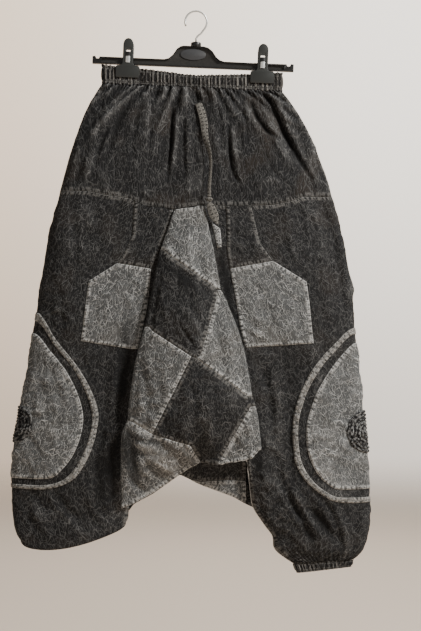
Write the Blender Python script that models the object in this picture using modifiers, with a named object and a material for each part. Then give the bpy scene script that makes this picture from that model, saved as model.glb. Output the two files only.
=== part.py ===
# Harem trousers of pieced cotton, hung flat from a black clip hanger.
# Origin: inside top of the hanger's hook. +X is the wearer's left as seen from the front,
# +Y runs to the back of the garment, +Z is up. Tables are in millimetres, meshes in metres.

import math

import bmesh
import bpy
import numpy as np
from mathutils import Vector
from mathutils.geometry import delaunay_2d_cdt

MM = 0.001

# ---------------------------------------------------------------- driving dimensions
WALL = 1.5             # thickness of every cloth panel
OVERLAY = 1.2          # thickness of a piece sewn on a panel
SEAM = 0.3             # gap between neighbouring pieces
TUCK = 14.0            # depth of the hidden fold at each side of the front gusset
TUCK_GAP = 0.6         # between that fold and the leg behind it
YOKE_CLEAR = 2.1       # from the yoke's seam down to the front gusset's top edge
BACK_CLEAR = 0.6       # between the back gusset and each leg
HEM_STEP = 2.7         # how far behind the front gusset's lower edge the hollow's cloth starts
HOLLOW_GAP = 0.6       # between the hollow's dark cloth and the pale patch below it
CUFF_SEAT = 0.3        # between the left cuff's top and the cloth turned up round it
LEG_SEAM_ROW = 8       # section of each leg at which its upper and lower panels meet

SIDE_WIDTH = 14.0      # width over which a side fold rounds off
SIDE_DEPTH = 11.0      # how deep it rounds
PUFF_WIDTH = 90.0      # width over which the leg fills out behind the fold

BAND_WALL = 1.2        # plain inner thickness of an elasticated band
BAND_GATHER = 1.3      # height of its gathers
GATHERS_WAIST = 49     # on each side of the waist
GATHERS_CUFF = {"left": 10, "right": 18}      # on each side of a cuff; the left one is rolled out of sight

BAR_LENGTH = 362.0
BAR_HEIGHT = 12.4
BAR_DEPTH = 10.8
BAR_MIDDLE = (-5.3, -94.1)   # x and z of its middle
BAR_TILT = 2.43              # degrees, the right end is the lower one
HOOK_WIRE = 3.4
HOOK_RADIUS = 18.0           # inside radius

# ---------------------------------------------------------------- outlines
# Sections of each leg, top to bottom. Each runs from the side fold (outer) to the inner seam.
# outer z, outer x, inner z, back seam x, front depth, back depth, closed (0 open, 1 tube), sag
LEG_COLUMNS = ("outer_z", "outer_x", "inner_z", "back_x", "front", "back", "closed", "sag")
LEFT_LEG = [
    (-324, -245, -360, -42, 24, 14, 0.00, 0),
    (-362, -256, -386, -45, 25, 15, 0.00, 0),
    (-410, -267, -425, -51, 27, 16, 0.00, 0),
    (-462, -276, -470, -57, 29, 17, 0.00, 0),
    (-516, -284, -521, -64, 30, 18, 0.00, 0),
    (-572, -292, -576, -72, 31, 18, 0.00, 0),
    (-628, -301, -630, -80, 31, 18, 0.00, 0),
    (-684, -310, -684, -88, 31, 18, 0.00, 0),
    (-738, -320, -734, -95, 31, 18, 0.00, 0),
    (-780, -327, -776, -101, 31, 18, 0.00, 0),
    (-818, -331, -812, -106, 30, 18, 0.00, 0),
    (-853, -332, -846, -112, 28, 18, 0.10, 1),
    (-884, -332, -876, -118, 25, 18, 0.30, 3),
    (-908, -330, -898, -121, 23, 17, 0.85, 7),
    (-928, -327, -910, -122, 22, 17, 1.00, 13),
    (-948, -316, -919, -126, 20, 16, 1.00, 21),
]
RIGHT_LEG = [
    (-334, 245, -352, 30, 24, 14, 0.00, 0),
    (-370, 256, -378, 33, 25, 15, 0.00, 0),
    (-416, 267, -419, 39, 27, 16, 0.00, 0),
    (-466, 276, -468, 45, 29, 17, 0.00, 0),
    (-518, 282, -518, 52, 30, 18, 0.00, 0),
    (-574, 286, -569, 58, 31, 18, 0.00, 0),
    (-630, 291, -621, 65, 31, 18, 0.00, 0),
    (-684, 296, -673, 72, 31, 18, 0.00, 0),
    (-732, 301, -720, 79, 31, 18, 0.00, 0),
    (-776, 305, -762, 86, 31, 18, 0.05, 0),
    (-814, 309, -800, 91, 31, 18, 0.20, 0),
    (-850, 311, -836, 95, 30, 18, 0.35, 0),
    (-882, 313, -866, 98, 29, 18, 0.60, 0),
    (-908, 313, -892, 103, 27, 18, 0.85, 0),
    (-930, 312, -922, 122, 25, 17, 1.00, 0),
    (-950, 308, -943, 137, 23, 16, 1.00, 0),
    (-966, 301, -964, 141, 20, 15, 1.00, 0),
    (-978, 291, -979, 157, 14, 12, 1.00, 0),
    (-985, 283, -989, 173, 8, 8, 1.00, 0),
]
CROTCH_ROW = 13        # the section at which both legs close

# Sections of the yoke: left x, left z, right x, right z.
YOKE = [
    (-169, -129, 155, -143.5),
    (-182, -149, 169, -161),
    (-200, -182, 187, -189),
    (-215, -222, 204, -220),
    (-227, -258, 219, -256),
    (-236, -290, 231, -290),
    (-245, -324, 245, -334),
]
# Seam between yoke and legs: x, z.
YOKE_SEAM = [
    (-245, -324), (-192, -324), (-160, -331), (-119, -337), (-92, -350), (-42, -357),
    (14, -349), (73, -351), (137, -349), (175, -341), (192, -334), (245, -334),
]
# Top edge of the waistband: x, z.
WAIST_TOP = [
    (-169, -95), (-146, -97.5), (-122, -99.5), (-77, -105), (-24, -113), (2, -115.5),
    (55, -114), (97, -112), (119, -111), (137, -109.5), (155, -110),
]
# Half the gap between front and back band: x, at the top edge, at the bottom edge.
SPREAD = [
    (-167.3, 0.0, 0.0), (-166.6, 1.0, 1.0), (-164, 2.0, 2.2), (-158, 2.4, 3.0),
    (-151, 1.5, 2.2), (-146, 0.3, 1.1), (-100, 0.3, 1.1), (-86, 2.2, 3.4), (-60, 5.6, 6.8),
    (-20, 7.8, 8.6), (20, 7.8, 8.6), (55, 5.2, 6.4), (80, 2.2, 3.2), (94, 0.3, 1.1),
    (140, 0.3, 1.1), (144, 1.3, 2.0), (149, 1.9, 2.2), (152.6, 1.0, 1.0), (153.3, 0.0, 0.0),
]
# Fold at each side of the front gusset: z, x, radius of the roll.
GUSSET_LEFT = [
    (-355, -36, 2.2), (-362, -38, 2.2), (-431, -64, 4.0), (-501, -77, 7.0), (-566, -91, 8.5),
    (-632, -108, 9.0), (-688, -116, 9.0), (-732, -121, 8.5), (-757, -131, 7.5),
    (-818, -133, 6.0), (-892, -133.5, 2.2),
]
GUSSET_RIGHT = [
    (-350, 15, 2.2), (-354, 15.5, 2.2), (-427, 30.5, 5.0), (-498, 44, 8.0), (-533, 59, 9.0),
    (-567, 73, 9.5), (-610, 86, 10.0), (-689, 100, 9.0), (-709, 106, 8.0), (-776, 116.5, 4.0),
]
# Heights of the gusset's sections at its left and right folds, and how far its middle bulges.
GUSSET_ROWS = [
    (-357, -350, 0), (-395, -388, 4), (-435, -428, 8), (-478, -468, 11), (-523, -508, 14),
    (-570, -548, 17), (-618, -588, 20), (-666, -628, 22), (-712, -666, 24), (-757, -700, 25),
    (-797, -728, 23), (-832, -748, 18), (-863, -763, 11), (-891.5, -776, 0),
]
# Lower edge of the front gusset: x, z, y.
GUSSET_HEM = [
    (-133.5, -891.5, -24), (-111, -883, -22), (-77, -865, -18), (-28.6, -831, -14),
    (9, -808, -30), (37.5, -812, -44), (98, -801.5, -44), (112, -787, -40), (116.5, -776, -38),
]
# Lower edge of the back gusset, the outline between the legs: x, z, y.
CROTCH = [
    (-121, -898, 3), (-112, -886, 2), (-77, -867, 1), (-29, -833, 2), (7, -850, 4),
    (27, -857, 5), (59, -869, 5), (86, -884, 5), (103, -892, 4),
]

# Soft folds pressed into the front and back: from x, z to x, z, half width, depth (+ sinks in).
FRONT_FOLDS = [
    (-43, -195, -46, -290, 22, 4.0), (59, -215, 62, -292, 20, 4.0),
    (112, -170, 150, -226, 20, 4.0), (136, -168, 208, -294, 20, 5.5),
    (-142, -160, -196, -232, 22, -4.0), (-100, -165, -120, -300, 24, -3.0),
    (5, -150, 6, -185, 16, 4.0), (-150, -700, -172, -880, 26, 4.0),
    (232, -360, 268, -500, 24, 5.0), (150, -640, 150, -840, 26, 4.0),
    (-250, -380, -225, -520, 28, -4.0), (200, -900, 262, -955, 20, 4.0),
    (-280, -880, -180, -925, 22, 3.5),
]
BACK_FOLDS = [
    (-60, -180, -80, -300, 24, 4.0), (40, -180, 60, -310, 22, 4.0),
    (130, -170, 180, -280, 22, 4.5), (-140, -165, -190, -290, 24, 4.0),
    (0, -400, -10, -640, 34, 6.0), (-170, -420, -210, -700, 30, 4.0),
    (150, -420, 200, -680, 30, 4.0), (-90, -640, -130, -840, 26, 4.0),
    (110, -640, 150, -850, 26, 4.0), (200, -900, 262, -955, 20, 3.0),
]


# ---------------------------------------------------------------- materials and objects
def material(name, colour, roughness, metallic=0.0):
    mat = bpy.data.materials.new(name)
    mat.use_nodes = True
    shader = mat.node_tree.nodes["Principled BSDF"]
    shader.inputs["Base Color"].default_value = (*colour, 1.0)
    shader.inputs["Roughness"].default_value = roughness
    shader.inputs["Metallic"].default_value = metallic
    mat.diffuse_color = (*colour, 1.0)
    return mat


def add_object(name, mesh, mat, parent=None):
    obj = bpy.data.objects.new(name, mesh)
    obj.data.materials.append(mat)
    bpy.data.collections["harem_trousers"].objects.link(obj)
    obj.parent = parent
    return obj


def mesh_from(name, points, faces):
    """A mesh from points in millimetres, with its faces turned outwards."""
    mesh = bpy.data.meshes.new(name)
    mesh.from_pydata((np.asarray(points) * MM).tolist(), [], faces)
    bm = bmesh.new()
    bm.from_mesh(mesh)
    bmesh.ops.recalc_face_normals(bm, faces=bm.faces)
    bm.to_mesh(mesh)
    bm.free()
    mesh.shade_smooth()
    return mesh


# ---------------------------------------------------------------- reading the tables
def column(table, at, value, read=0):
    """Straight-line reading of a table: column value where column read is at."""
    rows = sorted(table, key=lambda row: row[read])
    return np.interp(at, [row[read] for row in rows], [row[value] for row in rows])


def rounded(distance, width):
    """Quarter ellipse: 0 at an edge, 1 from width inwards."""
    t = np.clip(np.asarray(distance, float) / width, 0, 1)
    return np.sqrt(1 - (1 - t) ** 2)


def filled(distance, width):
    """Parabola: 0 at an edge, 1 from width inwards."""
    t = np.clip(np.asarray(distance, float) / width, 0, 1)
    return 1 - (1 - t) ** 2


def pressed(folds, x, z):
    """How far the soft folds move the cloth in, at x and z."""
    total = np.zeros(np.broadcast(x, z).shape)
    for x0, z0, x1, z1, half_width, depth in folds:
        run = np.array((x1 - x0, z1 - z0), float)
        length = np.hypot(*run)
        along = ((x - x0) * run[0] + (z - z0) * run[1]) / length
        across = ((x - x0) * run[1] - (z - z0) * run[0]) / length
        past = np.maximum(np.maximum(-along, along - length), 0)
        total += depth * np.exp(-(across / half_width) ** 2 - (past / (1.5 * half_width)) ** 2)
    return total


# ---------------------------------------------------------------- sheets of cloth
# A sheet is a grid: outer surface (rows, columns, 3), outward normals, and the flat place of
# each point, in which pieces are marked out. Panels and the pieces on them come from one grid.
def unit(vectors):
    return vectors / np.maximum(np.linalg.norm(vectors, axis=-1, keepdims=True), 1e-9)


def tangents(points, axis):
    """Mean of the unit steps before and after each grid point."""
    steps = unit(np.diff(points, axis=axis))
    first = np.take(steps, [0], axis=axis)
    last = np.take(steps, [-1], axis=axis)
    return np.concatenate((first, steps), axis=axis) + np.concatenate((steps, last), axis=axis)


def sheet(points, flat, towards=None):
    """Grid with normals. towards is a direction which the middle of the sheet faces."""
    normals = unit(np.cross(tangents(points, 1), tangents(points, 0)))
    if towards is not None:
        middle = normals[normals.shape[0] // 2, normals.shape[1] // 2]
        if np.dot(middle, towards) < 0:
            normals = -normals
    return {"points": points, "normals": normals, "flat": flat}


def part_of(whole, rows=slice(None), columns=slice(None)):
    return {key: value[rows, columns].copy() for key, value in whole.items()}


def grid_triangles(rows, columns):
    """Two triangles for each cell, all with the same diagonal."""
    index = np.arange(rows * columns).reshape(rows, columns)
    a, b = index[:-1, :-1].ravel(), index[:-1, 1:].ravel()
    c, d = index[1:, 1:].ravel(), index[1:, :-1].ravel()
    return np.vstack((np.stack((a, b, c), 1), np.stack((a, c, d), 1)))


def wall(name, points, normals, triangles, low, high, mat):
    """Closed wall between low and high over a surface, joined by a rim round its edge."""
    count = len(points)
    both = np.vstack((points + normals * high, points + normals * low))
    edges = {}
    for face in triangles.tolist():
        for start, end in zip(face, face[1:] + face[:1]):
            edges[(start, end)] = True
    rim = [(b, a, a + count, b + count) for a, b in edges if (b, a) not in edges]
    faces = triangles.tolist() + (triangles[:, ::-1] + count).tolist()
    for b, a, a_low, b_low in rim:
        faces += [(b, a, a_low), (b, a_low, b_low)]
    return add_object(name, mesh_from(name, both, faces), mat)


def panel(name, cloth, mat, thickness=WALL):
    """A whole grid as a panel, its wall growing inwards from the outer surface."""
    points = cloth["points"].reshape(-1, 3)
    normals = cloth["normals"].reshape(-1, 3)
    triangles = grid_triangles(*cloth["points"].shape[:2])
    return wall(name, points, normals, triangles, -thickness, 0.0, mat)


def inset(outline, gap):
    """Moves each side of a closed outline inwards by gap."""
    points = np.asarray(outline, float)
    turn = np.roll(points, -1, 0) - points
    area = np.sum(points[:, 0] * np.roll(points[:, 1], -1) - np.roll(points[:, 0], -1) * points[:, 1])
    if area < 0:
        points = points[::-1]
        turn = np.roll(points, -1, 0) - points
    side = unit(turn)
    inwards = np.stack((-side[:, 1], side[:, 0]), 1)
    before = np.roll(inwards, 1, 0)
    mitre = (before + inwards) / np.maximum(1 + np.sum(before * inwards, 1, keepdims=True), 0.3)
    return points + mitre * gap


def cut(cloth, outline, gap=SEAM / 2):
    """The part of a sheet inside an outline: points, normals and triangles.
    The sheet's own triangles are kept as edges, so the piece follows the sheet exactly."""
    rows, columns = cloth["flat"].shape[:2]
    flat = cloth["flat"].reshape(-1, 2)
    grid = grid_triangles(rows, columns)
    sides = flat[grid[:, 1:]] - flat[grid[:, :1]]
    clockwise = sides[:, 0, 0] * sides[:, 1, 1] < sides[:, 0, 1] * sides[:, 1, 0]
    grid[clockwise] = grid[clockwise][:, ::-1]
    border = inset(outline, gap)
    places = [Vector(p) for p in np.vstack((flat, border)).tolist()]
    shape = list(range(len(flat), len(places)))
    found = delaunay_2d_cdt(places, [], grid.tolist() + [shape], 1, 1e-3)
    spots, faces, origins = np.array([tuple(v) for v in found[0]]), found[2], found[5]
    points = np.zeros((len(spots), 3))
    normals = np.zeros((len(spots), 3))
    kept = []
    for face, origin in zip(faces, origins):
        cells = [o for o in origin if o < len(grid)]
        if len(grid) not in origin or not cells:
            continue
        corner = grid[cells[0]]
        base = np.column_stack((flat[corner[1]] - flat[corner[0]], flat[corner[2]] - flat[corner[0]]))
        for spot in face:
            u, v = np.linalg.solve(base, spots[spot] - flat[corner[0]])
            weights = np.array((1 - u - v, u, v))
            points[spot] = weights @ cloth["points"].reshape(-1, 3)[corner]
            normals[spot] = weights @ cloth["normals"].reshape(-1, 3)[corner]
        kept.append(list(face))
    used = sorted({spot for face in kept for spot in face})
    number = {spot: i for i, spot in enumerate(used)}
    triangles = np.array([[number[spot] for spot in face] for face in kept])
    return points[used], unit(normals[used]), triangles


def overlay(name, cloth, outline, mat, level=0):
    """A piece sewn on a sheet; level counts the pieces under it."""
    points, normals, triangles = cut(cloth, outline)
    low = SEAM + level * (OVERLAY + SEAM)
    return wall(name, points, normals, triangles, low, low + OVERLAY, mat)


def smooth(points, steps=3):
    """Catmull-Rom curve through the points, both ends kept."""
    p = np.asarray(points, float)
    p = np.vstack((2 * p[0] - p[1], p, 2 * p[-1] - p[-2]))
    t = np.linspace(0, 1, steps, endpoint=False)[:, None]
    run = []
    for a, b, c, d in zip(p[:-3], p[1:-2], p[2:-1], p[3:]):
        run.append(0.5 * (2 * b + (c - a) * t + (2 * a - 5 * b + 4 * c - d) * t ** 2
                          + (3 * b - a - 3 * c + d) * t ** 3))
    return np.vstack((*run, p[-2:-1]))


# ---------------------------------------------------------------- yoke and legs
def leg_columns(width):
    """Distances from the side fold: close together at both ends, even between."""
    ends = SIDE_WIDTH * np.array((0, 0.15, 0.6, 1.6)) * np.minimum(1, width / 150)
    between = np.linspace(ends[-1], width - ends[-1], 6)[1:-1]
    return np.concatenate((ends, between, width - ends[::-1]))


def depth_at(outer, inner, depth, closed):
    """Distance of the cloth from the middle plane, from its distances to both edges."""
    fold = SIDE_DEPTH * rounded(outer, SIDE_WIDTH) * (1 - closed * (1 - rounded(inner, SIDE_WIDTH)))
    puff = (depth - SIDE_DEPTH) * filled(outer, PUFF_WIDTH) * (1 - closed * (1 - filled(inner, PUFF_WIDTH)))
    return fold + puff


def seam_x(side, z, back_x):
    """Hidden inner seam of a leg's front, tucked in behind the gusset's fold."""
    fold = GUSSET_LEFT if side < 0 else GUSSET_RIGHT
    tucked = column(fold, z, 1) - side * TUCK
    lowest = min(row[0] for row in fold)
    return tucked if z > lowest else back_x


def leg_half(side, rows, face):
    """Front (face -1) or back (face 1) of a leg: points from side fold to inner seam."""
    folds = FRONT_FOLDS if face < 0 else BACK_FOLDS
    half = []
    for number, row in enumerate(rows):
        at = dict(zip(LEG_COLUMNS, row))
        inner_x = at["back_x"]
        if face < 0 and at["closed"] < 0.8:
            inner_x = seam_x(side, at["inner_z"], at["back_x"])
        width = abs(inner_x - at["outer_x"])
        outer = leg_columns(width)
        across = outer / width
        x = at["outer_x"] - side * outer
        z = at["outer_z"] + (at["inner_z"] - at["outer_z"]) * across
        straight = rows[0][0] + (rows[0][2] - rows[0][0]) * across
        z += (column(YOKE_SEAM, x, 1) - SEAM / 2 - straight) * max(0, 1 - number / 4) ** 2
        z -= at["sag"] * np.sin(math.pi * across ** 0.8) ** 0.7
        depth = at["front"] if face < 0 else at["back"]
        y = depth_at(outer, width - outer, depth, at["closed"])
        edges = filled(outer, 30) * filled(width - outer, 30)
        y -= pressed(folds, x, z) * edges
        half.append(np.stack((x, face * y, z), 1))
    return np.array(half)


def leg_sheet(side, rows):
    """The whole leg as one grid, back seam to side fold to front seam."""
    front = leg_half(side, rows, -1)
    back = leg_half(side, rows, 1)
    points = np.concatenate((back[:, :0:-1], front), 1)
    if side < 0:
        points = np.concatenate((points, left_leg_turn(points)), 0)
    whole = sheet(points, points[..., [0, 2]])
    middle = back.shape[1] - 1
    outwards = whole["normals"][5, middle + 6, 1]
    if outwards > 0:
        whole["normals"] = -whole["normals"]
    closed = np.array([row[6] for row in rows] + [1] * (len(points) - len(rows))) > 0.8
    ends = unit(whole["normals"][:, 0] + whole["normals"][:, -1])
    whole["normals"][closed, 0] = ends[closed]
    whole["normals"][closed, -1] = ends[closed]
    edge_x = column(rows, points[..., 2], 1)
    away = (edge_x - points[..., 0]) * side
    turned = np.ones(points.shape[1])
    turned[:middle] = -1
    away -= away[:, middle:middle + 1]
    whole["flat"] = np.stack((away * turned, points[..., 2]), -1)
    return whole, middle


def split_leg(whole, middle):
    """Front and back panels of a leg, each drawn back from the seams they share."""
    front = part_of(whole, columns=slice(middle, None))
    back = part_of(whole, columns=slice(None, middle + 1))
    for half, face in ((front, -1), (back, 1)):
        near = np.abs(half["points"][..., 1]) < SEAM / 2
        half["points"][..., 1][near] = face * SEAM / 2
    return front, back


def at_leg_seam(half):
    """Upper and lower panels of a leg's front or back, a seam's gap apart."""
    upper = part_of(half, rows=slice(None, LEG_SEAM_ROW + 1))
    lower = part_of(half, rows=slice(LEG_SEAM_ROW, None))
    down = lower["points"][1] - lower["points"][0]
    lower["points"][0] += unit(down) * SEAM
    return upper, lower


# The left leg's end rolls in and up to its cuff, which sits hidden inside it.
LEFT_CUFF = {"left": -300, "right": -198, "top": -921, "bottom": -945, "half_depth": 6.5}
CUFF_CLEAR = 2.4       # from that cuff to the cloth turned up round it
ROLL_DEPTH = 7.0       # how far the rolled end hangs below its last section
ROLL_IN = 9.0          # how far in it turns


def cuff_ring(cuff, across, faces):
    """Flattened ring: across runs 0 to 1 from its outer end, faces are -1 front, 1 back."""
    middle = (cuff["left"] + cuff["right"]) / 2
    half = (cuff["right"] - cuff["left"]) / 2
    x = middle - half * np.cos(math.pi * across)
    y = faces * cuff["half_depth"] * np.sin(math.pi * across) ** 0.5
    return x, y


def left_leg_turn(points):
    last = points[-1]
    left, right = last[:, 0].min(), last[:, 0].max()
    across = (last[:, 0] - left) / (right - left)
    faces = np.sign(last[:, 1])
    inner = last.copy()
    inner[:, 0] = left + ROLL_IN + (right - left - 2 * ROLL_IN) * across
    inner[:, 1] = last[:, 1] * 0.5
    turn = []
    for angle in (80, 180):
        share = (1 - math.cos(math.radians(angle))) / 2
        row = last + (inner - last) * share
        row[:, 2] -= ROLL_DEPTH * math.sin(math.radians(angle))
        turn.append(row)
    around = {"left": LEFT_CUFF["left"] - CUFF_CLEAR, "right": LEFT_CUFF["right"] + CUFF_CLEAR,
              "half_depth": LEFT_CUFF["half_depth"] + CUFF_CLEAR}
    for number, ring in enumerate((around, LEFT_CUFF)):
        x, y = cuff_ring(ring, np.arccos(1 - 2 * across) / math.pi, faces)
        height = LEFT_CUFF["top"] + CUFF_SEAT * (2 + number)
        turn.append(np.stack((x, y, np.full_like(x, height)), 1))
    return np.array(turn)


def waist_ring(at_bottom):
    """Plan of the waistband's inside, front half, left to right: x, y and outward normals."""
    table = np.array(SPREAD)
    pitch = (table[-1, 0] - table[0, 0]) / GATHERS_WAIST
    x = np.arange(table[0, 0], table[-1, 0] + 0.1, pitch / 2)
    x[-1] = table[-1, 0]
    x = np.unique(np.concatenate((x, (table[1, 0], table[-2, 0]))))
    y = -np.interp(x, table[:, 0], table[:, 2] if at_bottom else table[:, 1]) - SEAM / 2
    run = np.stack((x, y), 1)
    along = tangents(run[None], 1)[0]
    out = unit(np.stack((along[:, 1], -along[:, 0]), 1))
    out[0], out[-1] = (-1, 0), (1, 0)
    return run, out


def yoke_half(face, bottom_x):
    """Front or back of the yoke, from side fold to side fold, its lower points at bottom_x."""
    folds = FRONT_FOLDS if face < 0 else BACK_FOLDS
    depth = LEFT_LEG[0][4] if face < 0 else LEFT_LEG[0][5]
    share = (bottom_x - YOKE[-1][0]) / (YOKE[-1][2] - YOKE[-1][0])
    run, out = waist_ring(True)
    waist = run + out * WALL
    half = []
    for number, (left_x, left_z, right_x, right_z) in enumerate(YOKE):
        down = number / (len(YOKE) - 1)
        x = left_x + (right_x - left_x) * share
        z = left_z + (right_z - left_z) * share
        straight = YOKE[-1][1] + (YOKE[-1][3] - YOKE[-1][1]) * share
        line = column(YOKE_SEAM, bottom_x, 1) + SEAM / 2
        z += (line - straight) * down ** 2.5
        scale = (right_x - left_x) / (YOKE[-1][2] - YOKE[-1][0])
        left, right = (x - left_x) / scale, (right_x - x) / scale
        full = depth_at(left, right, depth, 1.0)
        gathered = np.interp(x, waist[:, 0], -waist[:, 1])
        weight = (1 - down) ** 1.6
        y = gathered * weight + full * (1 - weight)
        y -= pressed(folds, x, z) * filled(left, 40) * filled(right, 40) * min(1, down * 3)
        if face < 0:
            y += 3.5 * down ** 4 * np.exp(-((x + 11) / 30) ** 2)
        y = np.maximum(y, SEAM / 2)
        if number == 0:
            z -= SEAM
        half.append(np.stack((x, face * y, z), 1))
    points = np.array(half)
    return sheet(points, points[..., [0, 2]], (0, face, 0))


def straighten_ends(half):
    """Side folds face straight out sideways, so front and back meet squarely."""
    half["normals"][:, 0] = (-1, 0, 0)
    half["normals"][:, -1] = (1, 0, 0)
    return half


# ---------------------------------------------------------------- front gusset
def gusset_sheet(leg_front):
    """Front gusset with the folds at its sides, marked out flat.
    Past a fold the cloth rolls round by its radius and runs back behind itself."""
    rows = []
    flat = []
    count = len(GUSSET_ROWS)
    turns = np.array((1.0, 0.65, 0.32)) * math.pi
    for number, (left_z, right_z, bulge) in enumerate(GUSSET_ROWS):
        left_r = float(column(GUSSET_LEFT, left_z, 2))
        right_r = float(column(GUSSET_RIGHT, right_z, 2))
        left_x = float(column(GUSSET_LEFT, left_z, 1)) + left_r
        right_x = float(column(GUSSET_RIGHT, right_z, 1)) - right_r
        left_y = leg_front[-1](left_z) - TUCK_GAP - 2 * left_r
        right_y = leg_front[1](right_z) - TUCK_GAP - 2 * right_r
        share = np.linspace(0, 1, 8)
        x = left_x + (right_x - left_x) * share
        z = left_z + (right_z - left_z) * share
        y = left_y + (right_y - left_y) * share - bulge * np.sin(math.pi * share) ** 0.8
        lower = max(0, (number - (count - 6)) / 5)
        hem_z = column(GUSSET_HEM, x, 1)
        hem_y = column(GUSSET_HEM, x, 2)
        if number == 0:
            z = column(YOKE_SEAM, x, 1) - YOKE_CLEAR
        z += (hem_z - z) * lower ** 1.5
        y += (hem_y - y) * lower ** 3
        front = np.stack((x, y, z), 1)
        sides = []
        for fold_x, fold_y, fold_z, radius, out in (
            (left_x, y[0], z[0], left_r, -1), (right_x, y[-1], z[-1], right_r, 1),
        ):
            end = (fold_x - out * (TUCK - radius), fold_y + 2 * radius, fold_z)
            roll = [(fold_x + out * radius * math.sin(a), fold_y + radius * (1 - math.cos(a)), fold_z)
                    for a in turns]
            sides.append(np.array([end] + roll))
        lengths = [np.concatenate(([math.pi * r + TUCK - r], turns * r)) for r in (left_r, right_r)]
        rows.append(np.concatenate((sides[0], front, sides[1][::-1])))
        flat.append(np.concatenate((
            np.stack((left_x - lengths[0], np.full(4, z[0])), 1),
            front[:, [0, 2]],
            np.stack((right_x + lengths[1][::-1], np.full(4, z[-1])), 1),
        )))
    return sheet(np.array(rows), np.array(flat), (0, -1, 0))


def gusset_corner(kind, value, z=None):
    """A corner of a patch: a front point, or a point on a fold and past it."""
    if kind == "front":
        return [(value, z)]
    fold, out = (GUSSET_LEFT, -1) if kind == "left" else (GUSSET_RIGHT, 1)
    radius = float(column(fold, value, 2))
    start = float(column(fold, value, 1)) - out * radius
    return [(start, value), (start + out * (math.pi * radius + TUCK + 5), value)]


# Patches of the front gusset: name, cloth, corners in order. A left or right corner
# carries the seam over that fold and back again at the next height.
def patch_outline(corners):
    outline = []
    inside = True
    for corner in corners:
        run = gusset_corner(*corner)
        if len(run) == 2:
            outline += run if inside else run[::-1]
            inside = not inside
        else:
            outline += run
    return outline


PATCHES = [
    ("patch_top", "pale", [("left", -345), ("left", -430), ("right", -499), ("right", -345)]),
    ("patch_upper_dark", "dark", [
        ("left", -430), ("left", -566), ("front", -77, -573), ("front", -7, -618),
        ("front", 1, -621), ("front", 8, -617), ("front", 36, -520), ("right", -501),
        ("right", -499)]),
    ("patch_left", "pale", [
        ("left", -566), ("left", -733), ("front", -76, -755), ("front", -7, -618),
        ("front", -77, -573)]),
    ("patch_right", "pale", [
        ("right", -501), ("right", -689), ("front", 1, -621), ("front", 8, -617),
        ("front", 36, -520)]),
    ("patch_lower_dark", "dark", [
        ("front", -7, -618), ("front", 1, -621), ("right", -689), ("right", -707),
        ("front", 37, -812), ("front", 37, -830), ("front", 9, -806), ("front", -10, -775),
        ("front", -76, -755)]),
    ("patch_corner", "pale", [
        ("right", -707), ("right", -800), ("front", 118, -830), ("front", 37, -830),
        ("front", 37, -812)]),
    ("patch_bottom", "pale", [
        ("left", -733), ("left", -900), ("front", -125, -905), ("front", 9, -830),
        ("front", 9, -806), ("front", -10, -775), ("front", -76, -755)]),
]


# ---------------------------------------------------------------- behind the front gusset
def back_gusset(left_edge, right_edge):
    """Back gusset between the two back legs, its lower edge the outline of the crotch."""
    rows = []
    share = np.linspace(0, 1, 9)
    for number in range(CROTCH_ROW + 1):
        start = left_edge[number] + np.array((BACK_CLEAR, 0, 0))
        end = right_edge[number] - np.array((BACK_CLEAR, 0, 0))
        row = start + (end - start) * share[:, None]
        weight = min(1, max(0, (number - 3) / 9)) ** 1.5
        last = left_edge[CROTCH_ROW] + (right_edge[CROTCH_ROW] - left_edge[CROTCH_ROW]) * share[:, None]
        row[:, 2] += (column(CROTCH, last[:, 0], 1) - last[:, 2]) * weight
        lower = min(1, max(0, (number - CROTCH_ROW + 4) / 4)) ** 2
        hem_y = column(CROTCH, row[:, 0], 2)
        row[1:-1, 1] += ((hem_y - row[:, 1]) * lower)[1:-1]
        row[:, 1] -= pressed(BACK_FOLDS, row[:, 0], row[:, 2]) * filled(share, 0.3) * filled(1 - share, 0.3)
        if number == 0:
            row[:, 2] = column(YOKE_SEAM, row[:, 0], 1) - SEAM / 2
        rows.append(row)
    points = np.array(rows)
    return sheet(points, points[..., [0, 2]], (0, 1, 0))


# Underside of the gusset, from its lower edge back to the outline between the legs. On the
# right it is a hollow, closed below by a pale patch: x, z of its lower seam, z of the outline.
HOLLOW = [
    (-117, -888, -888), (-105, -881, -881), (-77, -866, -866), (-29, -832, -832),
    (-10, -840, -842), (8, -845, -851), (26, -843, -857.5), (48, -842, -865.5),
    (70, -842, -874), (90, -843, -884),
]
HOLLOW_SEAM_Y = -4.5                       # depth of the cloth's lower seam
HOLLOW_EDGE_Y = -1.8                       # depth of the pale patch at the outline


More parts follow.
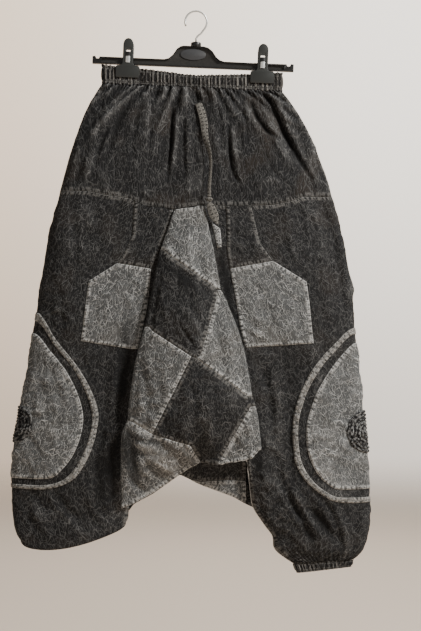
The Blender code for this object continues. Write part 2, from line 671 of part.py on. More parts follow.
def hollow_sheets(gusset):
    """Dark cloth from the gusset's lower edge back into the hollow, and the patch below it."""
    hem = gusset["points"][-1, 4:-4]
    under = []
    for x, seam_z, _ in HOLLOW:
        hem_y = float(np.interp(x, hem[:, 0], hem[:, 1])) + HEM_STEP
        hem_z = float(np.interp(x, hem[:, 0], hem[:, 2])) + 1.5
        span = HOLLOW_SEAM_Y - hem_y
        rise = min(5.0, 0.2 * span)
        under.append([
            (x, hem_y, hem_z),
            (x, hem_y + 0.35 * span, hem_z + rise),
            (x, hem_y + 0.70 * span, hem_z * 0.65 + seam_z * 0.35 + rise * 0.6),
            (x, hem_y + 0.92 * span, hem_z * 0.3 + seam_z * 0.7),
            (x, HOLLOW_SEAM_Y, seam_z + SEAM / 2),
        ])
    below = []
    for x, seam_z, edge_z in HOLLOW[4:]:
        seam_z -= HOLLOW_GAP
        middle_y = (HOLLOW_SEAM_Y + HOLLOW_EDGE_Y) / 2 - 1
        below.append([(x, HOLLOW_SEAM_Y, seam_z), (x, middle_y, (seam_z + edge_z) / 2),
                      (x, HOLLOW_EDGE_Y, edge_z)])
    sheets = []
    for points in (np.array(under, float), np.array(below, float)):
        sheets.append(sheet(points, points[..., [0, 2]], (0, -1, -0.2)))
    return sheets


# ---------------------------------------------------------------- elasticated bands
def band_half(name, face, run_top, run_bottom, out, top_z, bottom_z, gathers, mat):
    """Half of an elasticated band: a plain inside, and gathers raised in its outer points.
    Stitch lines press the gathers down at two heights."""
    heights = (0.0, 0.2, 0.8, 1.0)       # share of the way down
    raised = (1.0, 0.5, 0.5, 0.9)        # share of a gather's full height
    travel = np.concatenate(([0], np.cumsum(np.linalg.norm(np.diff(run_top, axis=0), axis=1))))
    wave = 0.5 - 0.5 * np.cos(2 * math.pi * travel / travel[-1] * gathers)
    flip = np.array((1.0, -face))
    outer, inner = [], []
    for share, lift in zip(heights, raised):
        plan = run_top + (run_bottom - run_top) * share
        z = top_z + (bottom_z - top_z) * share
        high = plan + out * (BAND_WALL + BAND_GATHER * lift * wave)[:, None]
        outer.append(np.column_stack((high * flip, z))[:, [0, 1, 2]])
        inner.append(np.column_stack((plan * flip, z)))
    outer, inner = np.array(outer), np.array(inner)[[0, -1]]
    count = outer.shape[1]
    points = np.vstack((outer.reshape(-1, 3), inner.reshape(-1, 3)))
    base = outer.shape[0] * count
    faces = grid_triangles(outer.shape[0], count).tolist()
    faces += (grid_triangles(2, count)[:, ::-1] + base).tolist()
    top, bottom = np.arange(count), (outer.shape[0] - 1) * count + np.arange(count)
    for edge, inside, order in ((top, base + np.arange(count), 1),
                                (bottom, base + count + np.arange(count), -1)):
        for i in range(count - 1):
            quad = [edge[i + 1], edge[i], inside[i], inside[i + 1]][::order]
            faces += [[int(quad[0]), int(quad[1]), int(quad[2])],
                      [int(quad[0]), int(quad[2]), int(quad[3])]]
    for i, order in ((0, 1), (count - 1, -1)):
        rim = [r * count + i for r in range(outer.shape[0])] + [base + count + i, base + i]
        faces.append([int(v) for v in rim[::order]])
    return add_object(name, mesh_from(name, points, faces), mat)


def waistband(face, mat):
    top, out = waist_ring(False)
    bottom, _ = waist_ring(True)
    top_z = column(WAIST_TOP, top[:, 0], 1)
    bottom_z = np.interp(top[:, 0], (YOKE[0][0], YOKE[0][2]), (YOKE[0][1], YOKE[0][3]))
    name = "waistband_front" if face < 0 else "waistband_back"
    return band_half(name, face, top, bottom, out, top_z, bottom_z, GATHERS_WAIST, mat)


RIGHT_CUFF_TOP = {"left": 174.5, "right": 281.5, "half_depth": 6.5}
RIGHT_CUFF_BOTTOM = {"left": 182.0, "right": 278.5, "half_depth": 6.5}
RIGHT_CUFF_TOP_Z = (-989.6, -985.8)       # at its left and right ends
RIGHT_CUFF_BOTTOM_Z = (-1009.0, -998.0)


def cuff_half(name, face, top_ring, bottom_ring, top_z, bottom_z, mat):
    """Front or back of an elasticated cuff."""
    gathers = GATHERS_CUFF["left" if "left" in name else "right"]
    across = np.linspace(0, 1, 2 * gathers + 1)
    runs = []
    for ring in (top_ring, bottom_ring):
        x, y = cuff_ring(ring, across, -1)
        run = np.stack((x, y - SEAM / 2), 1)
        run[0, 1] = run[-1, 1] = -SEAM / 2
        run[:, 0] = np.interp(run[:, 0], (ring["left"], ring["right"]),
                              (ring["left"] + WALL, ring["right"] - WALL))
        run[:, 1] *= (ring["half_depth"] - WALL) / ring["half_depth"]
        run[:, 1] = np.minimum(run[:, 1], -SEAM / 2)
        runs.append(run)
    along = tangents(runs[0][None], 1)[0]
    out = unit(np.stack((along[:, 1], -along[:, 0]), 1))
    out[0], out[-1] = (-1, 0), (1, 0)
    return band_half(name, face, runs[0], runs[1], out, np.interp(across, (0, 1), top_z),
                     np.interp(across, (0, 1), bottom_z), gathers, mat)


# ---------------------------------------------------------------- pieces sewn on the legs
# Pockets, on the front: x, z. The last corners lie along the gusset's fold.
POCKET_LEFT_UPPER = [
    (-108, -330), (-113, -404), (-126, -432), (-140, -453), (-79, -463), (-66, -432),
    (-52, -398), (-41, -365), (-40, -345),
]
POCKET_LEFT_LOWER = [
    (-140, -453), (-191, -485), (-205, -592), (-115, -606), (-103, -606), (-94, -570),
    (-86, -530), (-79, -463),
]
POCKET_RIGHT_UPPER = [
    (52, -340), (96, -340), (104, -375), (114, -417), (137, -449), (60, -463), (55, -430),
]
POCKET_RIGHT_LOWER = [
    (137, -449), (197, -486), (210, -596), (88, -604), (78, -566), (60, -463),
]
POCKET_TAB = [(27, -380), (43, -391), (46, -424), (38, -427)]

# Half moons round the side folds: distance from the fold and z of the outer edge, then of
# the field. A pale band runs along the outer edge, and the leg shows between it and the
# field. Each is mirrored on the back.
MOON_LEFT = [
    (0, -540, 0, -577), (47, -591, 40, -611), (88, -632, 72, -643), (119, -673, 97, -680),
    (146, -745, 120, -748), (133, -810, 107, -802), (94, -849, 78, -834),
    (0, -855, 0, -837),
]
MOON_RIGHT = [
    (0, -568, 0, -595), (41, -597, 34, -622), (79, -635, 60, -652), (102, -669, 81, -683),
    (119, -704, 95, -713), (132, -779, 108, -780), (112, -844, 91, -832),
    (59, -879, 56, -856),
    (0, -881, 0, -857),
]
BAND_SHARE = 0.42      # width of the pale band, as a share of the strip outside the field
BAND_SLIT = 0.24       # gap between the band's two ends, at the top of the side fold
SPIRAL = {"turns": 2.5, "radius": 31.0, "cord": 5.0, "steps": 9}
SPIRAL_LEFT = (3.0, -743.0)
SPIRAL_RIGHT = (3.0, -756.0)


def on_leg(rows, side, outline):
    """Outline given by x and z, as distances from the side fold and z."""
    points = np.array(outline, float)
    points[:, 0] = (column(rows, points[:, 1], 1) - points[:, 0]) * side
    return points


def moon_edge(moon, share):
    """Closed outline round the side fold, between the outer edge (0) and the field (1)."""
    table = np.array(moon, float)
    half = table[:, :2] + (table[:, 2:] - table[:, :2]) * share
    half[0, 0] = half[-1, 0] = 0
    mirrored = half[-2:0:-1] * (-1, 1)
    return np.vstack((half, mirrored))


def ring_outline(outer, inner):
    """Band between two closed outlines, opened by a slit at the top of the side fold."""
    slit = np.array((BAND_SLIT / 2, 0))
    start = np.vstack((outer[0] + slit, outer[1:], outer[0] - slit))
    back = np.vstack((inner[0] - slit, inner[:0:-1], inner[0] + slit))
    return np.vstack((start, back))


def spiral_outline(centre):
    """Flat cord wound outwards from the middle."""
    count = int(SPIRAL["turns"] * SPIRAL["steps"])
    t = np.linspace(0.12, 1, count)
    angle = 2 * math.pi * SPIRAL["turns"] * t
    radius = SPIRAL["radius"] * t
    ray = np.stack((np.cos(angle), np.sin(angle)), 1)
    outer = np.array(centre) + ray * (radius + SPIRAL["cord"] / 2)[:, None]
    inner = np.array(centre) + ray * (radius - SPIRAL["cord"] / 2)[:, None]
    return np.vstack((outer, inner[::-1]))


def sewn_pieces(side, rows, whole, middle, cloth):
    label = "left" if side < 0 else "right"
    front = part_of(whole, rows=slice(0, 10), columns=slice(middle, None))
    upper, lower = ((POCKET_LEFT_UPPER, POCKET_LEFT_LOWER) if side < 0
                    else (POCKET_RIGHT_UPPER, POCKET_RIGHT_LOWER))
    overlay("pocket_upper_" + label, front, on_leg(rows, side, upper), cloth["dark"])
    overlay("pocket_lower_" + label, front, on_leg(rows, side, lower), cloth["pale"])
    if side > 0:
        overlay("pocket_tab", front, on_leg(rows, side, POCKET_TAB), cloth["pale"])
    moon = MOON_LEFT if side < 0 else MOON_RIGHT
    edges = [moon_edge(moon, share) for share in (0, BAND_SHARE, 1)]
    around = part_of(whole, rows=slice(3, 16))
    overlay("moon_band_" + label, around, ring_outline(edges[0], edges[1]), cloth["pale"])
    overlay("moon_field_" + label, around, edges[2], cloth["pale"])
    centre = SPIRAL_LEFT if side < 0 else SPIRAL_RIGHT
    overlay("moon_spiral_" + label, around, spiral_outline(centre), cloth["dark"], level=1)


# ---------------------------------------------------------------- drawstring
# Route down the front from the gathers to its knot: x, y, z, turn in degrees.
TIE_ROUTE = [
    (4.5, -14.2, -166, 0), (11, -17.0, -186, 0), (14.5, -20.5, -204, 8), (16, -24, -221, 14),
    (20, -28, -240, 40), (24.5, -31, -256, 62), (26.5, -33, -276, 66), (25.5, -34.5, -298, 50),
    (24, -35.5, -318, 30), (24, -36.5, -335.1, 10),
]
TIE_WIDTH = 13.0
TIE_THICK = 1.6
TIE_TAIL = [(24, -36.5, -345.6, 5.0), (27, -37, -354, 11.0), (32, -37, -368, 13.0),
            (36, -36.5, -377, 9.0), (38.5, -36.5, -383, 2.0)]   # x, y, z, width
KNOT = (24, -36.5, -340)
KNOT_SIZE = (13, 8, 9)


def tie(mat):
    """Flat strip along its route, turned edge-on lower down."""
    route = np.array(TIE_ROUTE, float)
    p = smooth(route[:, :3], 2)
    turn = np.radians(np.interp(np.linspace(0, 1, len(p)), np.linspace(0, 1, len(route)), route[:, 3]))
    along = unit(tangents(p[None], 1)[0])
    front = unit(np.cross(along, (1, 0, 0)))
    side = np.cross(front, along)
    wide = side * np.cos(turn)[:, None] + front * np.sin(turn)[:, None]
    flat = np.cross(wide, along)
    ring = [p + wide * a * TIE_WIDTH / 2 + flat * b * TIE_THICK / 2
            for a, b in ((-1, -1), (1, -1), (1, 1), (-1, 1))]
    return lofted("tie", np.stack(ring, 1), mat)


def lofted(name, rings, mat):
    """Solid through closed rings (sections, corners, 3), capped at both ends."""
    sections, corners = rings.shape[:2]
    faces = []
    for r in range(sections - 1):
        for c in range(corners):
            a, b = r * corners + c, r * corners + (c + 1) % corners
            faces += [[a, b, b + corners], [a, b + corners, a + corners]]
    faces.append(list(range(corners))[::-1])
    faces.append([(sections - 1) * corners + c for c in range(corners)])
    return add_object(name, mesh_from(name, rings.reshape(-1, 3), faces), mat)


def tie_tail(mat):
    """Leaf-shaped end of the strip below the knot."""
    rings = []
    for x, y, z, width in TIE_TAIL:
        half = width / 2
        rings.append([(x - half, y, z - half * 0.35), (x, y - TIE_THICK / 2, z),
                      (x + half, y, z + half * 0.35), (x, y + TIE_THICK / 2, z)])
    return lofted("tie_tail", np.array(rings, float), mat)


def tie_knot(mat):
    bpy.ops.mesh.primitive_uv_sphere_add(segments=12, ring_count=8, radius=0.5)
    obj = bpy.context.object
    obj.name = obj.data.name = "tie_knot"
    obj.location = [v * MM for v in KNOT]
    obj.scale = [v * MM for v in KNOT_SIZE]
    move_to_collection(obj)
    obj.data.materials.append(mat)
    obj.data.shade_smooth()
    return obj


# ---------------------------------------------------------------- hanger
def move_to_collection(obj):
    for holder in obj.users_collection:
        holder.objects.unlink(obj)
    bpy.data.collections["harem_trousers"].objects.link(obj)


def plate(name, outline, depth, mat, parent=None):
    """Flat outline in x and z, extruded evenly to both sides of y = 0, made a mesh."""
    curve = bpy.data.curves.new(name, "CURVE")
    curve.dimensions = "2D"
    curve.fill_mode = "BOTH"
    curve.extrude = depth * MM / 2
    spline = curve.splines.new("POLY")
    spline.points.add(len(outline) - 1)
    for point, (x, z) in zip(spline.points, outline):
        point.co = (x * MM, z * MM, 0, 1)
    spline.use_cyclic_u = True
    flat = bpy.data.objects.new(name + "_outline", curve)
    bpy.data.collections["harem_trousers"].objects.link(flat)
    bpy.context.view_layer.update()
    mesh = bpy.data.meshes.new_from_object(flat.evaluated_get(bpy.context.evaluated_depsgraph_get()))
    bpy.data.objects.remove(flat)
    bm = bmesh.new()
    bm.from_mesh(mesh)
    bmesh.ops.remove_doubles(bm, verts=bm.verts, dist=0.00001)
    for vert in bm.verts:
        vert.co = Vector((vert.co.x, -vert.co.z, vert.co.y))
    bmesh.ops.recalc_face_normals(bm, faces=bm.faces)
    bm.to_mesh(mesh)
    bm.free()
    mesh.name = name
    return add_object(name, mesh, mat, parent)


def cut_away(obj, cutter):
    cutter.hide_render = True
    cutter.display_type = "WIRE"
    move_cutter(cutter)
    boolean = obj.modifiers.new("cut " + cutter.name, "BOOLEAN")
    boolean.operation = "DIFFERENCE"
    boolean.object = cutter


def move_cutter(obj):
    for holder in obj.users_collection:
        holder.objects.unlink(obj)
    bpy.data.collections["cutters"].objects.link(obj)


# Upper outline of the bar, from its middle: distance along, height. The lower one is straight.
BAR_TOP = [
    (-181, 6.2), (-176, 7.2), (-174, 2.6), (-169.5, 2.6), (-168, 6.2),
    (-52, 6.2), (-44, 8.5), (-37, 15), (-30, 26), (-24, 30.5), (-18, 32),
    (18, 32), (26, 30), (34, 24), (42, 13), (48, 8.5), (56, 6.2),
    (168, 6.2), (169.5, 2.6), (174, 2.6), (176, 7.2), (181, 6.2),
]
LIP = 2.2              # width of the rim round the bar's thin web
WEB = 2.6              # thickness of that web
BADGE = (-0.5, 17.0, 23.0, 10.0)    # middle along and up, half width, half height


def hanger_bar(mat, frame):
    half = BAR_HEIGHT / 2
    outline = BAR_TOP + [(BAR_LENGTH / 2, -half), (-BAR_LENGTH / 2, -half)]
    bar = plate("hanger_bar", outline[::-1], BAR_DEPTH, mat, frame)
    pocket = [(x, z - LIP) for x, z in BAR_TOP if abs(x) < 168]
    pocket = [(-164, half - LIP)] + pocket[1:-1] + [(164, half - LIP)]
    pocket += [(164, -half + LIP), (-164, -half + LIP)]
    deep = (BAR_DEPTH - WEB) / 2
    for name, face in (("front", -1), ("back", 1)):
        cutter = plate("recess_" + name, pocket[::-1], deep + 2, mat, frame)
        cutter.location.y = face * (WEB / 2 + (deep + 2) / 2) * MM
        cut_away(bar, cutter)
    return bar


def badge(mat, frame):
    """Plain oval plate in the middle of the bar's recess."""
    x, z, wide, high = BADGE
    steps = np.linspace(0, 2 * math.pi, 28, endpoint=False)
    outline = [(x + wide * math.cos(a), z + high * math.sin(a)) for a in steps]
    oval = plate("hanger_badge", outline, 1.4, mat, frame)
    oval.location.y = -(WEB / 2 + SEAM + 0.7) * MM
    return oval


def turned(name, profile, mat, parent=None):
    """Solid turned round Z from a profile of radius and height, top to bottom."""
    mesh = bpy.data.meshes.new(name)
    points = [(r * MM, 0, z * MM) for r, z in profile]
    mesh.from_pydata(points, [(i, i + 1) for i in range(len(points) - 1)], [])
    obj = add_object(name, mesh, mat, parent)
    screw = obj.modifiers.new("turn", "SCREW")
    screw.steps = screw.render_steps = 20
    screw.use_merge_vertices = True
    screw.merge_threshold = 0.00001
    return obj


BOSS_TOP = -54.6       # z of the swivel boss on the bar
HUMP_TOP = -61.6       # z of the bar's flat top


def boss(mat):
    return turned("hook_boss", [
        (0, BOSS_TOP), (7.5, BOSS_TOP), (9.2, BOSS_TOP - 1.2), (9.5, HUMP_TOP + 0.6), (0, HUMP_TOP + 0.6),
    ], mat)


def hook(mat):
    """Steel wire hook: straight stem, a bend to one side, round over the top and down."""
    radius = HOOK_RADIUS + HOOK_WIRE / 2
    centre = -HOOK_RADIUS
    route = [(0, BOSS_TOP + SEAM), (0, -48), (3, -43.5), (9, -38.5)]
    for degrees in range(-38, 218, 16):
        angle = math.radians(degrees)
        route.append((radius * math.cos(angle), centre + radius * math.sin(angle)))
    curve = bpy.data.curves.new("hook", "CURVE")
    curve.dimensions = "3D"
    curve.bevel_depth = HOOK_WIRE * MM / 2
    curve.bevel_resolution = 2
    curve.use_fill_caps = True
    spline = curve.splines.new("POLY")
    spline.points.add(len(route) - 1)
    for point, (x, z) in zip(spline.points, route):
        point.co = (x * MM, 0, z * MM, 1)
    return add_object("hook", curve, mat)


# Clip plate, from the bar's middle line: outline of half of it, top to bottom.
CLIP_HALF = [
    (0, 40.5), (3.6, 39.6), (6.6, 37.2), (8.6, 33.5), (9.3, 29), (9.3, -3), (10.5, -6.5),
    (14, -8.2), (19.4, -8.6), (21.2, -10.2), (21.2, -27.5), (19.8, -29.5),
]
CLIP_THICK = 3.0
CLIP_LEAN = 5.2        # degrees that each plate leans out towards its lever
CLIP_TIP_Y = 3.35      # inner face of a plate at its lower edge
CLIP_HOLE = (8.2, 8.6, 18.4)       # width, height, middle above the bar
SPRING = {"width": 7.6, "thick": 0.8, "top": 15.6, "bottom": -3.0}
CLIPS = {"left": -117.0, "right": 125.0}    # place along the bar


def clip_plate(name, face, mat, frame, along):
    outline = CLIP_HALF + [(-x, z) for x, z in CLIP_HALF[:0:-1]]
    obj = plate(name, outline[::-1], CLIP_THICK, mat, frame)
    lean = math.radians(CLIP_LEAN)
    low = CLIP_HALF[-1][1]
    inner = CLIP_THICK / 2
    obj.rotation_euler = (face * -lean, 0, 0)
    y = face * (CLIP_TIP_Y + inner * math.cos(lean) - low * math.sin(lean))
    obj.location = (along * MM, y * MM, 0)
    hole_width, hole_height, hole_z = CLIP_HOLE
    bpy.ops.mesh.primitive_cube_add(size=1)
    cutter = bpy.context.object
    cutter.name = name + "_hole"
    cutter.parent = frame
    cutter.location = (along * MM, y * MM, hole_z * MM)
    cutter.scale = (hole_width * MM, 12 * MM, hole_height * MM)
    cut_away(obj, cutter)
    return obj


def clip_face_y(height):
    """Outer face of a clip plate at a height above the bar's middle."""
    lean = math.radians(CLIP_LEAN)
    return CLIP_TIP_Y + (height - CLIP_HALF[-1][1]) * math.tan(lean) + CLIP_THICK / math.cos(lean)


def clip_spring(name, mat, frame, along):
    """Flat steel spring: over the top through both holes and down both outer faces."""
    top, bottom, clear = SPRING["top"], SPRING["bottom"], SEAM + 0.1
    corner = 1.6
    side = [(clip_face_y(bottom) + clear, bottom), (clip_face_y(top - corner) + clear, top - corner)]
    y_top, z_top = side[-1][0], top - corner
    arc = [(y_top - corner * (1 - math.cos(a)), z_top + corner * math.sin(a))
           for a in np.radians((30, 60, 90))]
    path = side + arc
    path = path + [(-y, z) for y, z in reversed(path)]
    half = SPRING["width"] / 2
    points = [((along + x) * MM, y * MM, z * MM) for y, z in path for x in (-half, half)]
    faces = [(2 * i, 2 * i + 1, 2 * i + 3, 2 * i + 2) for i in range(len(path) - 1)]
    mesh = bpy.data.meshes.new(name)
    mesh.from_pydata(points, [], faces)
    obj = add_object(name, mesh, mat, frame)
    shell = obj.modifiers.new("thickness", "SOLIDIFY")
    shell.thickness = SPRING["thick"] * MM
    shell.offset = -1.0
    shell.use_even_offset = True
    return obj


def hanger(finish):
    frame = bpy.data.objects.new("hanger_frame", None)
    bpy.data.collections["harem_trousers"].objects.link(frame)
    frame.location = (BAR_MIDDLE[0] * MM, 0, BAR_MIDDLE[1] * MM)
    frame.rotation_euler = (0, math.radians(BAR_TILT), 0)
    hanger_bar(finish["plastic"], frame)
    badge(finish["badge"], frame)
    boss(finish["plastic"])
    hook(finish["steel"])
    for label, along in CLIPS.items():
        clip_plate("clip_front_" + label, -1, finish["clip"], frame, along)
        clip_plate("clip_back_" + label, 1, finish["clip"], frame, along)
        clip_spring("clip_spring_" + label, finish["steel"], frame, along)


# ---------------------------------------------------------------- the garment
def inner_depth(front_sheet):
    """Reading of the foremost part of a leg's front near its tucked seam, by height."""
    edge = front_sheet["points"][:, -1, 2]
    foremost = front_sheet["points"][:, -4:, 1].min(axis=1)
    order = np.argsort(edge)
    return lambda z: float(np.interp(z, edge[order], foremost[order])) - SEAM


def garment(cloth):
    legs = {}
    for side, rows, label in ((-1, LEFT_LEG, "left"), (1, RIGHT_LEG, "right")):
        whole, middle = leg_sheet(side, rows)
        front, back = split_leg(whole, middle)
        for half, name in ((front, "front_" + label), (back, "back_" + label)):
            upper, lower = at_leg_seam(half)
            panel("leg_" + name, upper, cloth["dark"])
            panel("leg_lower_" + name, lower, cloth["dark"])
        sewn_pieces(side, rows, whole, middle, cloth)
        legs[side] = {"front": front, "back": back}

    gusset = gusset_sheet({side: inner_depth(legs[side]["front"]) for side in (-1, 1)})
    for name, shade, corners in PATCHES:
        points, normals, triangles = cut(gusset, patch_outline(corners))
        wall(name, points, normals, triangles, -WALL, 0.0, cloth[shade])

    left_edge = legs[-1]["back"]["points"][:, 0]
    right_edge = legs[1]["back"]["points"][:, 0]
    behind = back_gusset(left_edge, right_edge)
    panel("gusset_back", behind, cloth["dark"])
    under, below = hollow_sheets(gusset)
    panel("gusset_under", under, cloth["dark"])
    panel("gusset_under_patch", below, cloth["pale"])

    front_x = np.concatenate((legs[-1]["front"]["points"][0, :, 0],
                              legs[1]["front"]["points"][0, ::-1, 0]))
    back_x = np.concatenate((legs[-1]["back"]["points"][0, ::-1, 0],
                             behind["points"][0, 1:-1, 0],
                             legs[1]["back"]["points"][0, :, 0]))
    panel("yoke_front", straighten_ends(yoke_half(-1, front_x)), cloth["dark"])
    panel("yoke_back", straighten_ends(yoke_half(1, back_x)), cloth["dark"])

    waistband(-1, cloth["dark"])
    waistband(1, cloth["dark"])
    tie(cloth["tape"])
    tie_knot(cloth["tape"])
    tie_tail(cloth["tape"])

    left_z = [(LEFT_CUFF[key], LEFT_CUFF[key]) for key in ("top", "bottom")]
    for face, label in ((-1, "front"), (1, "back")):
        cuff_half("cuff_left_" + label, face, LEFT_CUFF, LEFT_CUFF, *left_z, cloth["dark"])
        cuff_half("cuff_right_" + label, face, RIGHT_CUFF_TOP, RIGHT_CUFF_BOTTOM,
                  RIGHT_CUFF_TOP_Z, RIGHT_CUFF_BOTTOM_Z, cloth["dark"])


def build():
    for obj in list(bpy.data.objects):
        bpy.data.objects.remove(obj)
    for name in ("harem_trousers", "cutters"):
        bpy.context.scene.collection.children.link(bpy.data.collections.new(name))
    cloth = {
        "dark": material("stonewashed charcoal cotton", (0.045, 0.043, 0.042), 0.9),
        "pale": material("stonewashed grey cotton", (0.19, 0.185, 0.175), 0.9),
        "tape": material("taupe cotton tape", (0.12, 0.115, 0.105), 0.85),
    }
    finish = {
        "plastic": material("black hanger plastic", (0.016, 0.015, 0.014), 0.35),
        "clip": material("grey-green clip plastic", (0.035, 0.04, 0.038), 0.4),
        "badge": material("dark grey plastic", (0.045, 0.048, 0.05), 0.45),
        "steel": material("bright steel", (0.75, 0.75, 0.73), 0.25, 1.0),
    }
    hanger(finish)
    garment(cloth)


build()
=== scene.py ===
import bpy
import bmesh
import math
import numpy as np
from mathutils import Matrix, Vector
from mathutils.geometry import delaunay_2d_cdt


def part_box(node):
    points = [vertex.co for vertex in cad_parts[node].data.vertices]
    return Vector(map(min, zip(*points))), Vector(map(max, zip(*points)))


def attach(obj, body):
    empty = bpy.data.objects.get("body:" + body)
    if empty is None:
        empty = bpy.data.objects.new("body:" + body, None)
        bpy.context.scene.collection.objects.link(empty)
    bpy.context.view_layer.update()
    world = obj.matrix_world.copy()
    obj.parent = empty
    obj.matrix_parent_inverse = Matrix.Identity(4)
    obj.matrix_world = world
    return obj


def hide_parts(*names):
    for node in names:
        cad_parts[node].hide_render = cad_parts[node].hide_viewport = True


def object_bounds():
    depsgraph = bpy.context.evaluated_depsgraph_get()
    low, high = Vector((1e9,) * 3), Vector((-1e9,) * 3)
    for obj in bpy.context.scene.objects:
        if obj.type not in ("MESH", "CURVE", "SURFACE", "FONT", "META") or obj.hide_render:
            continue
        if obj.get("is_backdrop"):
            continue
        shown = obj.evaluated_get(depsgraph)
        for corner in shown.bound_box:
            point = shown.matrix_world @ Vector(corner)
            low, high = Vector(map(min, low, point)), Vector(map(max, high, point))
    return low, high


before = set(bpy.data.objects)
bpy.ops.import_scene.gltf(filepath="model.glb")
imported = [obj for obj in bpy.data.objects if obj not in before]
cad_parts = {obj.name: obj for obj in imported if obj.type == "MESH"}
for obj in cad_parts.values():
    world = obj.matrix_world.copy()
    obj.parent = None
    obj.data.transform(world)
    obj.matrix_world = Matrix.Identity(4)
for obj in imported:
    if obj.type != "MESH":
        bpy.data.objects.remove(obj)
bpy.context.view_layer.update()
mm = 0.001      # tables are in millimetres, meshes in metres

# Every sheet of cloth is a dictionary of arrays on one grid (rows down, columns across):
# "points" in millimetres, "normals" outwards, "flat" the place of each point on the cut cloth, and
# "relief", how far the cloth is raised (+) or sunk (-) plus the painted shade (-) and painted light (+) of
# the shade tables, which its material paints as shade in hollows and light on crests.


def unit(vectors):
    # each vector divided by its length
    return vectors / np.maximum(np.linalg.norm(vectors, axis=-1, keepdims=True), 1e-12)


def softRead(values, t):
    # Catmull-Rom curve through evenly numbered values, read at t from 0 to the last number
    v = np.asarray(values, float)
    t = np.clip(np.asarray(t, float), 0, len(v) - 1)
    i = np.minimum(t.astype(int), len(v) - 2)
    f = (t - i).reshape(t.shape + (1,) * (v.ndim - 1))
    a, b, c, d = v[np.maximum(i - 1, 0)], v[i], v[i + 1], v[np.minimum(i + 2, len(v) - 1)]
    return 0.5 * (2 * b + (c - a) * f + (2 * a - 5 * b + 4 * c - d) * f ** 2
                  + (3 * b - a - 3 * c + d) * f ** 3)


def readTable(table, at, value):
    # straight-line reading: column value where the first column is at
    rows = sorted(table, key=lambda row: row[0])
    return np.interp(at, [row[0] for row in rows], [row[value] for row in rows])


def rounded(distance, width):
    # quarter ellipse: 0 at an edge, 1 from width inwards
    t = np.clip(distance / width, 0, 1)
    return np.sqrt(np.maximum(1 - (1 - t) ** 2, 0))


def filled(distance, width):
    # parabola: 0 at an edge, 1 from width inwards
    t = np.clip(distance / width, 0, 1)
    return 1 - (1 - t) ** 2


def sampled(grid, r, c):
    # bilinear reading of a grid at fractional rows and columns
    r = np.clip(r, 0, grid.shape[0] - 1)
    c = np.clip(c, 0, grid.shape[1] - 1)
    i = np.minimum(r.astype(int), grid.shape[0] - 2)
    j = np.minimum(c.astype(int), grid.shape[1] - 2)
    u, v = r - i, c - j
    if grid.ndim > 2:
        u, v = u[..., None], v[..., None]
    return (grid[i, j] * (1 - u) * (1 - v) + grid[i + 1, j] * u * (1 - v)
            + grid[i, j + 1] * (1 - u) * v + grid[i + 1, j + 1] * u * v)


def locate(flat, target, r, c):
    # Newton's steps on the grid from the guess r, c to the place whose flat place is target
    for step in range(16):
        miss = target - sampled(flat, r, c)
        down = sampled(flat, r + 0.5, c) - sampled(flat, r - 0.5, c)
        across = sampled(flat, r, c + 0.5) - sampled(flat, r, c - 0.5)
        area = down[..., 0] * across[..., 1] - down[..., 1] * across[..., 0]
        area = np.where(np.abs(area) < 1e-9, 1e-9, area)
        moveR = (miss[..., 0] * across[..., 1] - miss[..., 1] * across[..., 0]) / area
        moveC = (down[..., 0] * miss[..., 1] - down[..., 1] * miss[..., 0]) / area
        r = np.clip(r + np.clip(moveR, -30, 30), 0, flat.shape[0] - 1)
        c = np.clip(c + np.clip(moveC, -30, 30), 0, flat.shape[1] - 1)
    return r, c


def normalsOf(points, towards=None):
    # cross product of the steps across and down the grid; towards turns them to face that way
    normals = unit(np.cross(np.gradient(points, axis=1), np.gradient(points, axis=0)))
    if towards is not None:
        middle = normals[normals.shape[0] // 2, normals.shape[1] // 2]
        if middle @ np.array(towards, float) < 0:
            normals = -normals
    return normals


def along(line, pitch):
    # a polyline cut into even steps of about pitch
    line = np.asarray(line, float)
    travel = np.concatenate(([0], np.cumsum(np.linalg.norm(np.diff(line, axis=0), axis=1))))
    count = max(2, int(math.ceil(travel[-1] / pitch)) + 1)
    at = np.linspace(0, travel[-1], count)
    return np.stack([np.interp(at, travel, line[:, k]) for k in range(line.shape[1])], 1)


def curveThrough(line, pitch):
    # a smooth curve through the points, cut into even steps
    line = np.asarray(line, float)
    return along(softRead(line, np.linspace(0, len(line) - 1, len(line) * 16)), pitch)


def cloudNoise(x, y, size, seed):
    # value noise: random numbers on a square lattice, joined by smooth steps
    numbers = np.random.default_rng(seed).random((97, 89))
    u, v = x / size, y / size
    i, j = np.floor(u).astype(int), np.floor(v).astype(int)
    s, t = u - i, v - j
    s, t = s * s * (3 - 2 * s), t * t * (3 - 2 * t)
    a, b = numbers[i % 97, j % 89], numbers[(i + 1) % 97, j % 89]
    c, d = numbers[i % 97, (j + 1) % 89], numbers[(i + 1) % 97, (j + 1) % 89]
    return (a * (1 - s) + b * s) * (1 - t) + (c * (1 - s) + d * s) * t


# wrinkle sets: direction in degrees, size, stretch along it, share of the height
wrinkles = [
    (12, 12, 2.6, 1.0), (68, 10, 2.2, 1.0), (-48, 14, 2.4, 1.0), (34, 27, 2.2, 1.5), (-66, 31, 2.0, 1.6),
]


def crumple(flat, seed, height):
    # soft crossing wrinkles: the crests of stretched noise in five directions, each in patches
    x, z = flat[..., 0], flat[..., 1]
    total = np.zeros(x.shape)
    for k, (degrees, size, stretch, tall) in enumerate(wrinkles):
        a = math.radians(degrees)
        u, v = x * math.cos(a) + z * math.sin(a), z * math.cos(a) - x * math.sin(a)
        crest = 1 - np.abs(2 * cloudNoise(u, v / stretch, size, seed + k) - 1)
        patchy = cloudNoise(x, z, 45, seed + 10 + k)
        total += tall * crest ** 3 * np.clip(patchy * 2 - 0.5, 0, 1)
    return height * (total - 0.9)


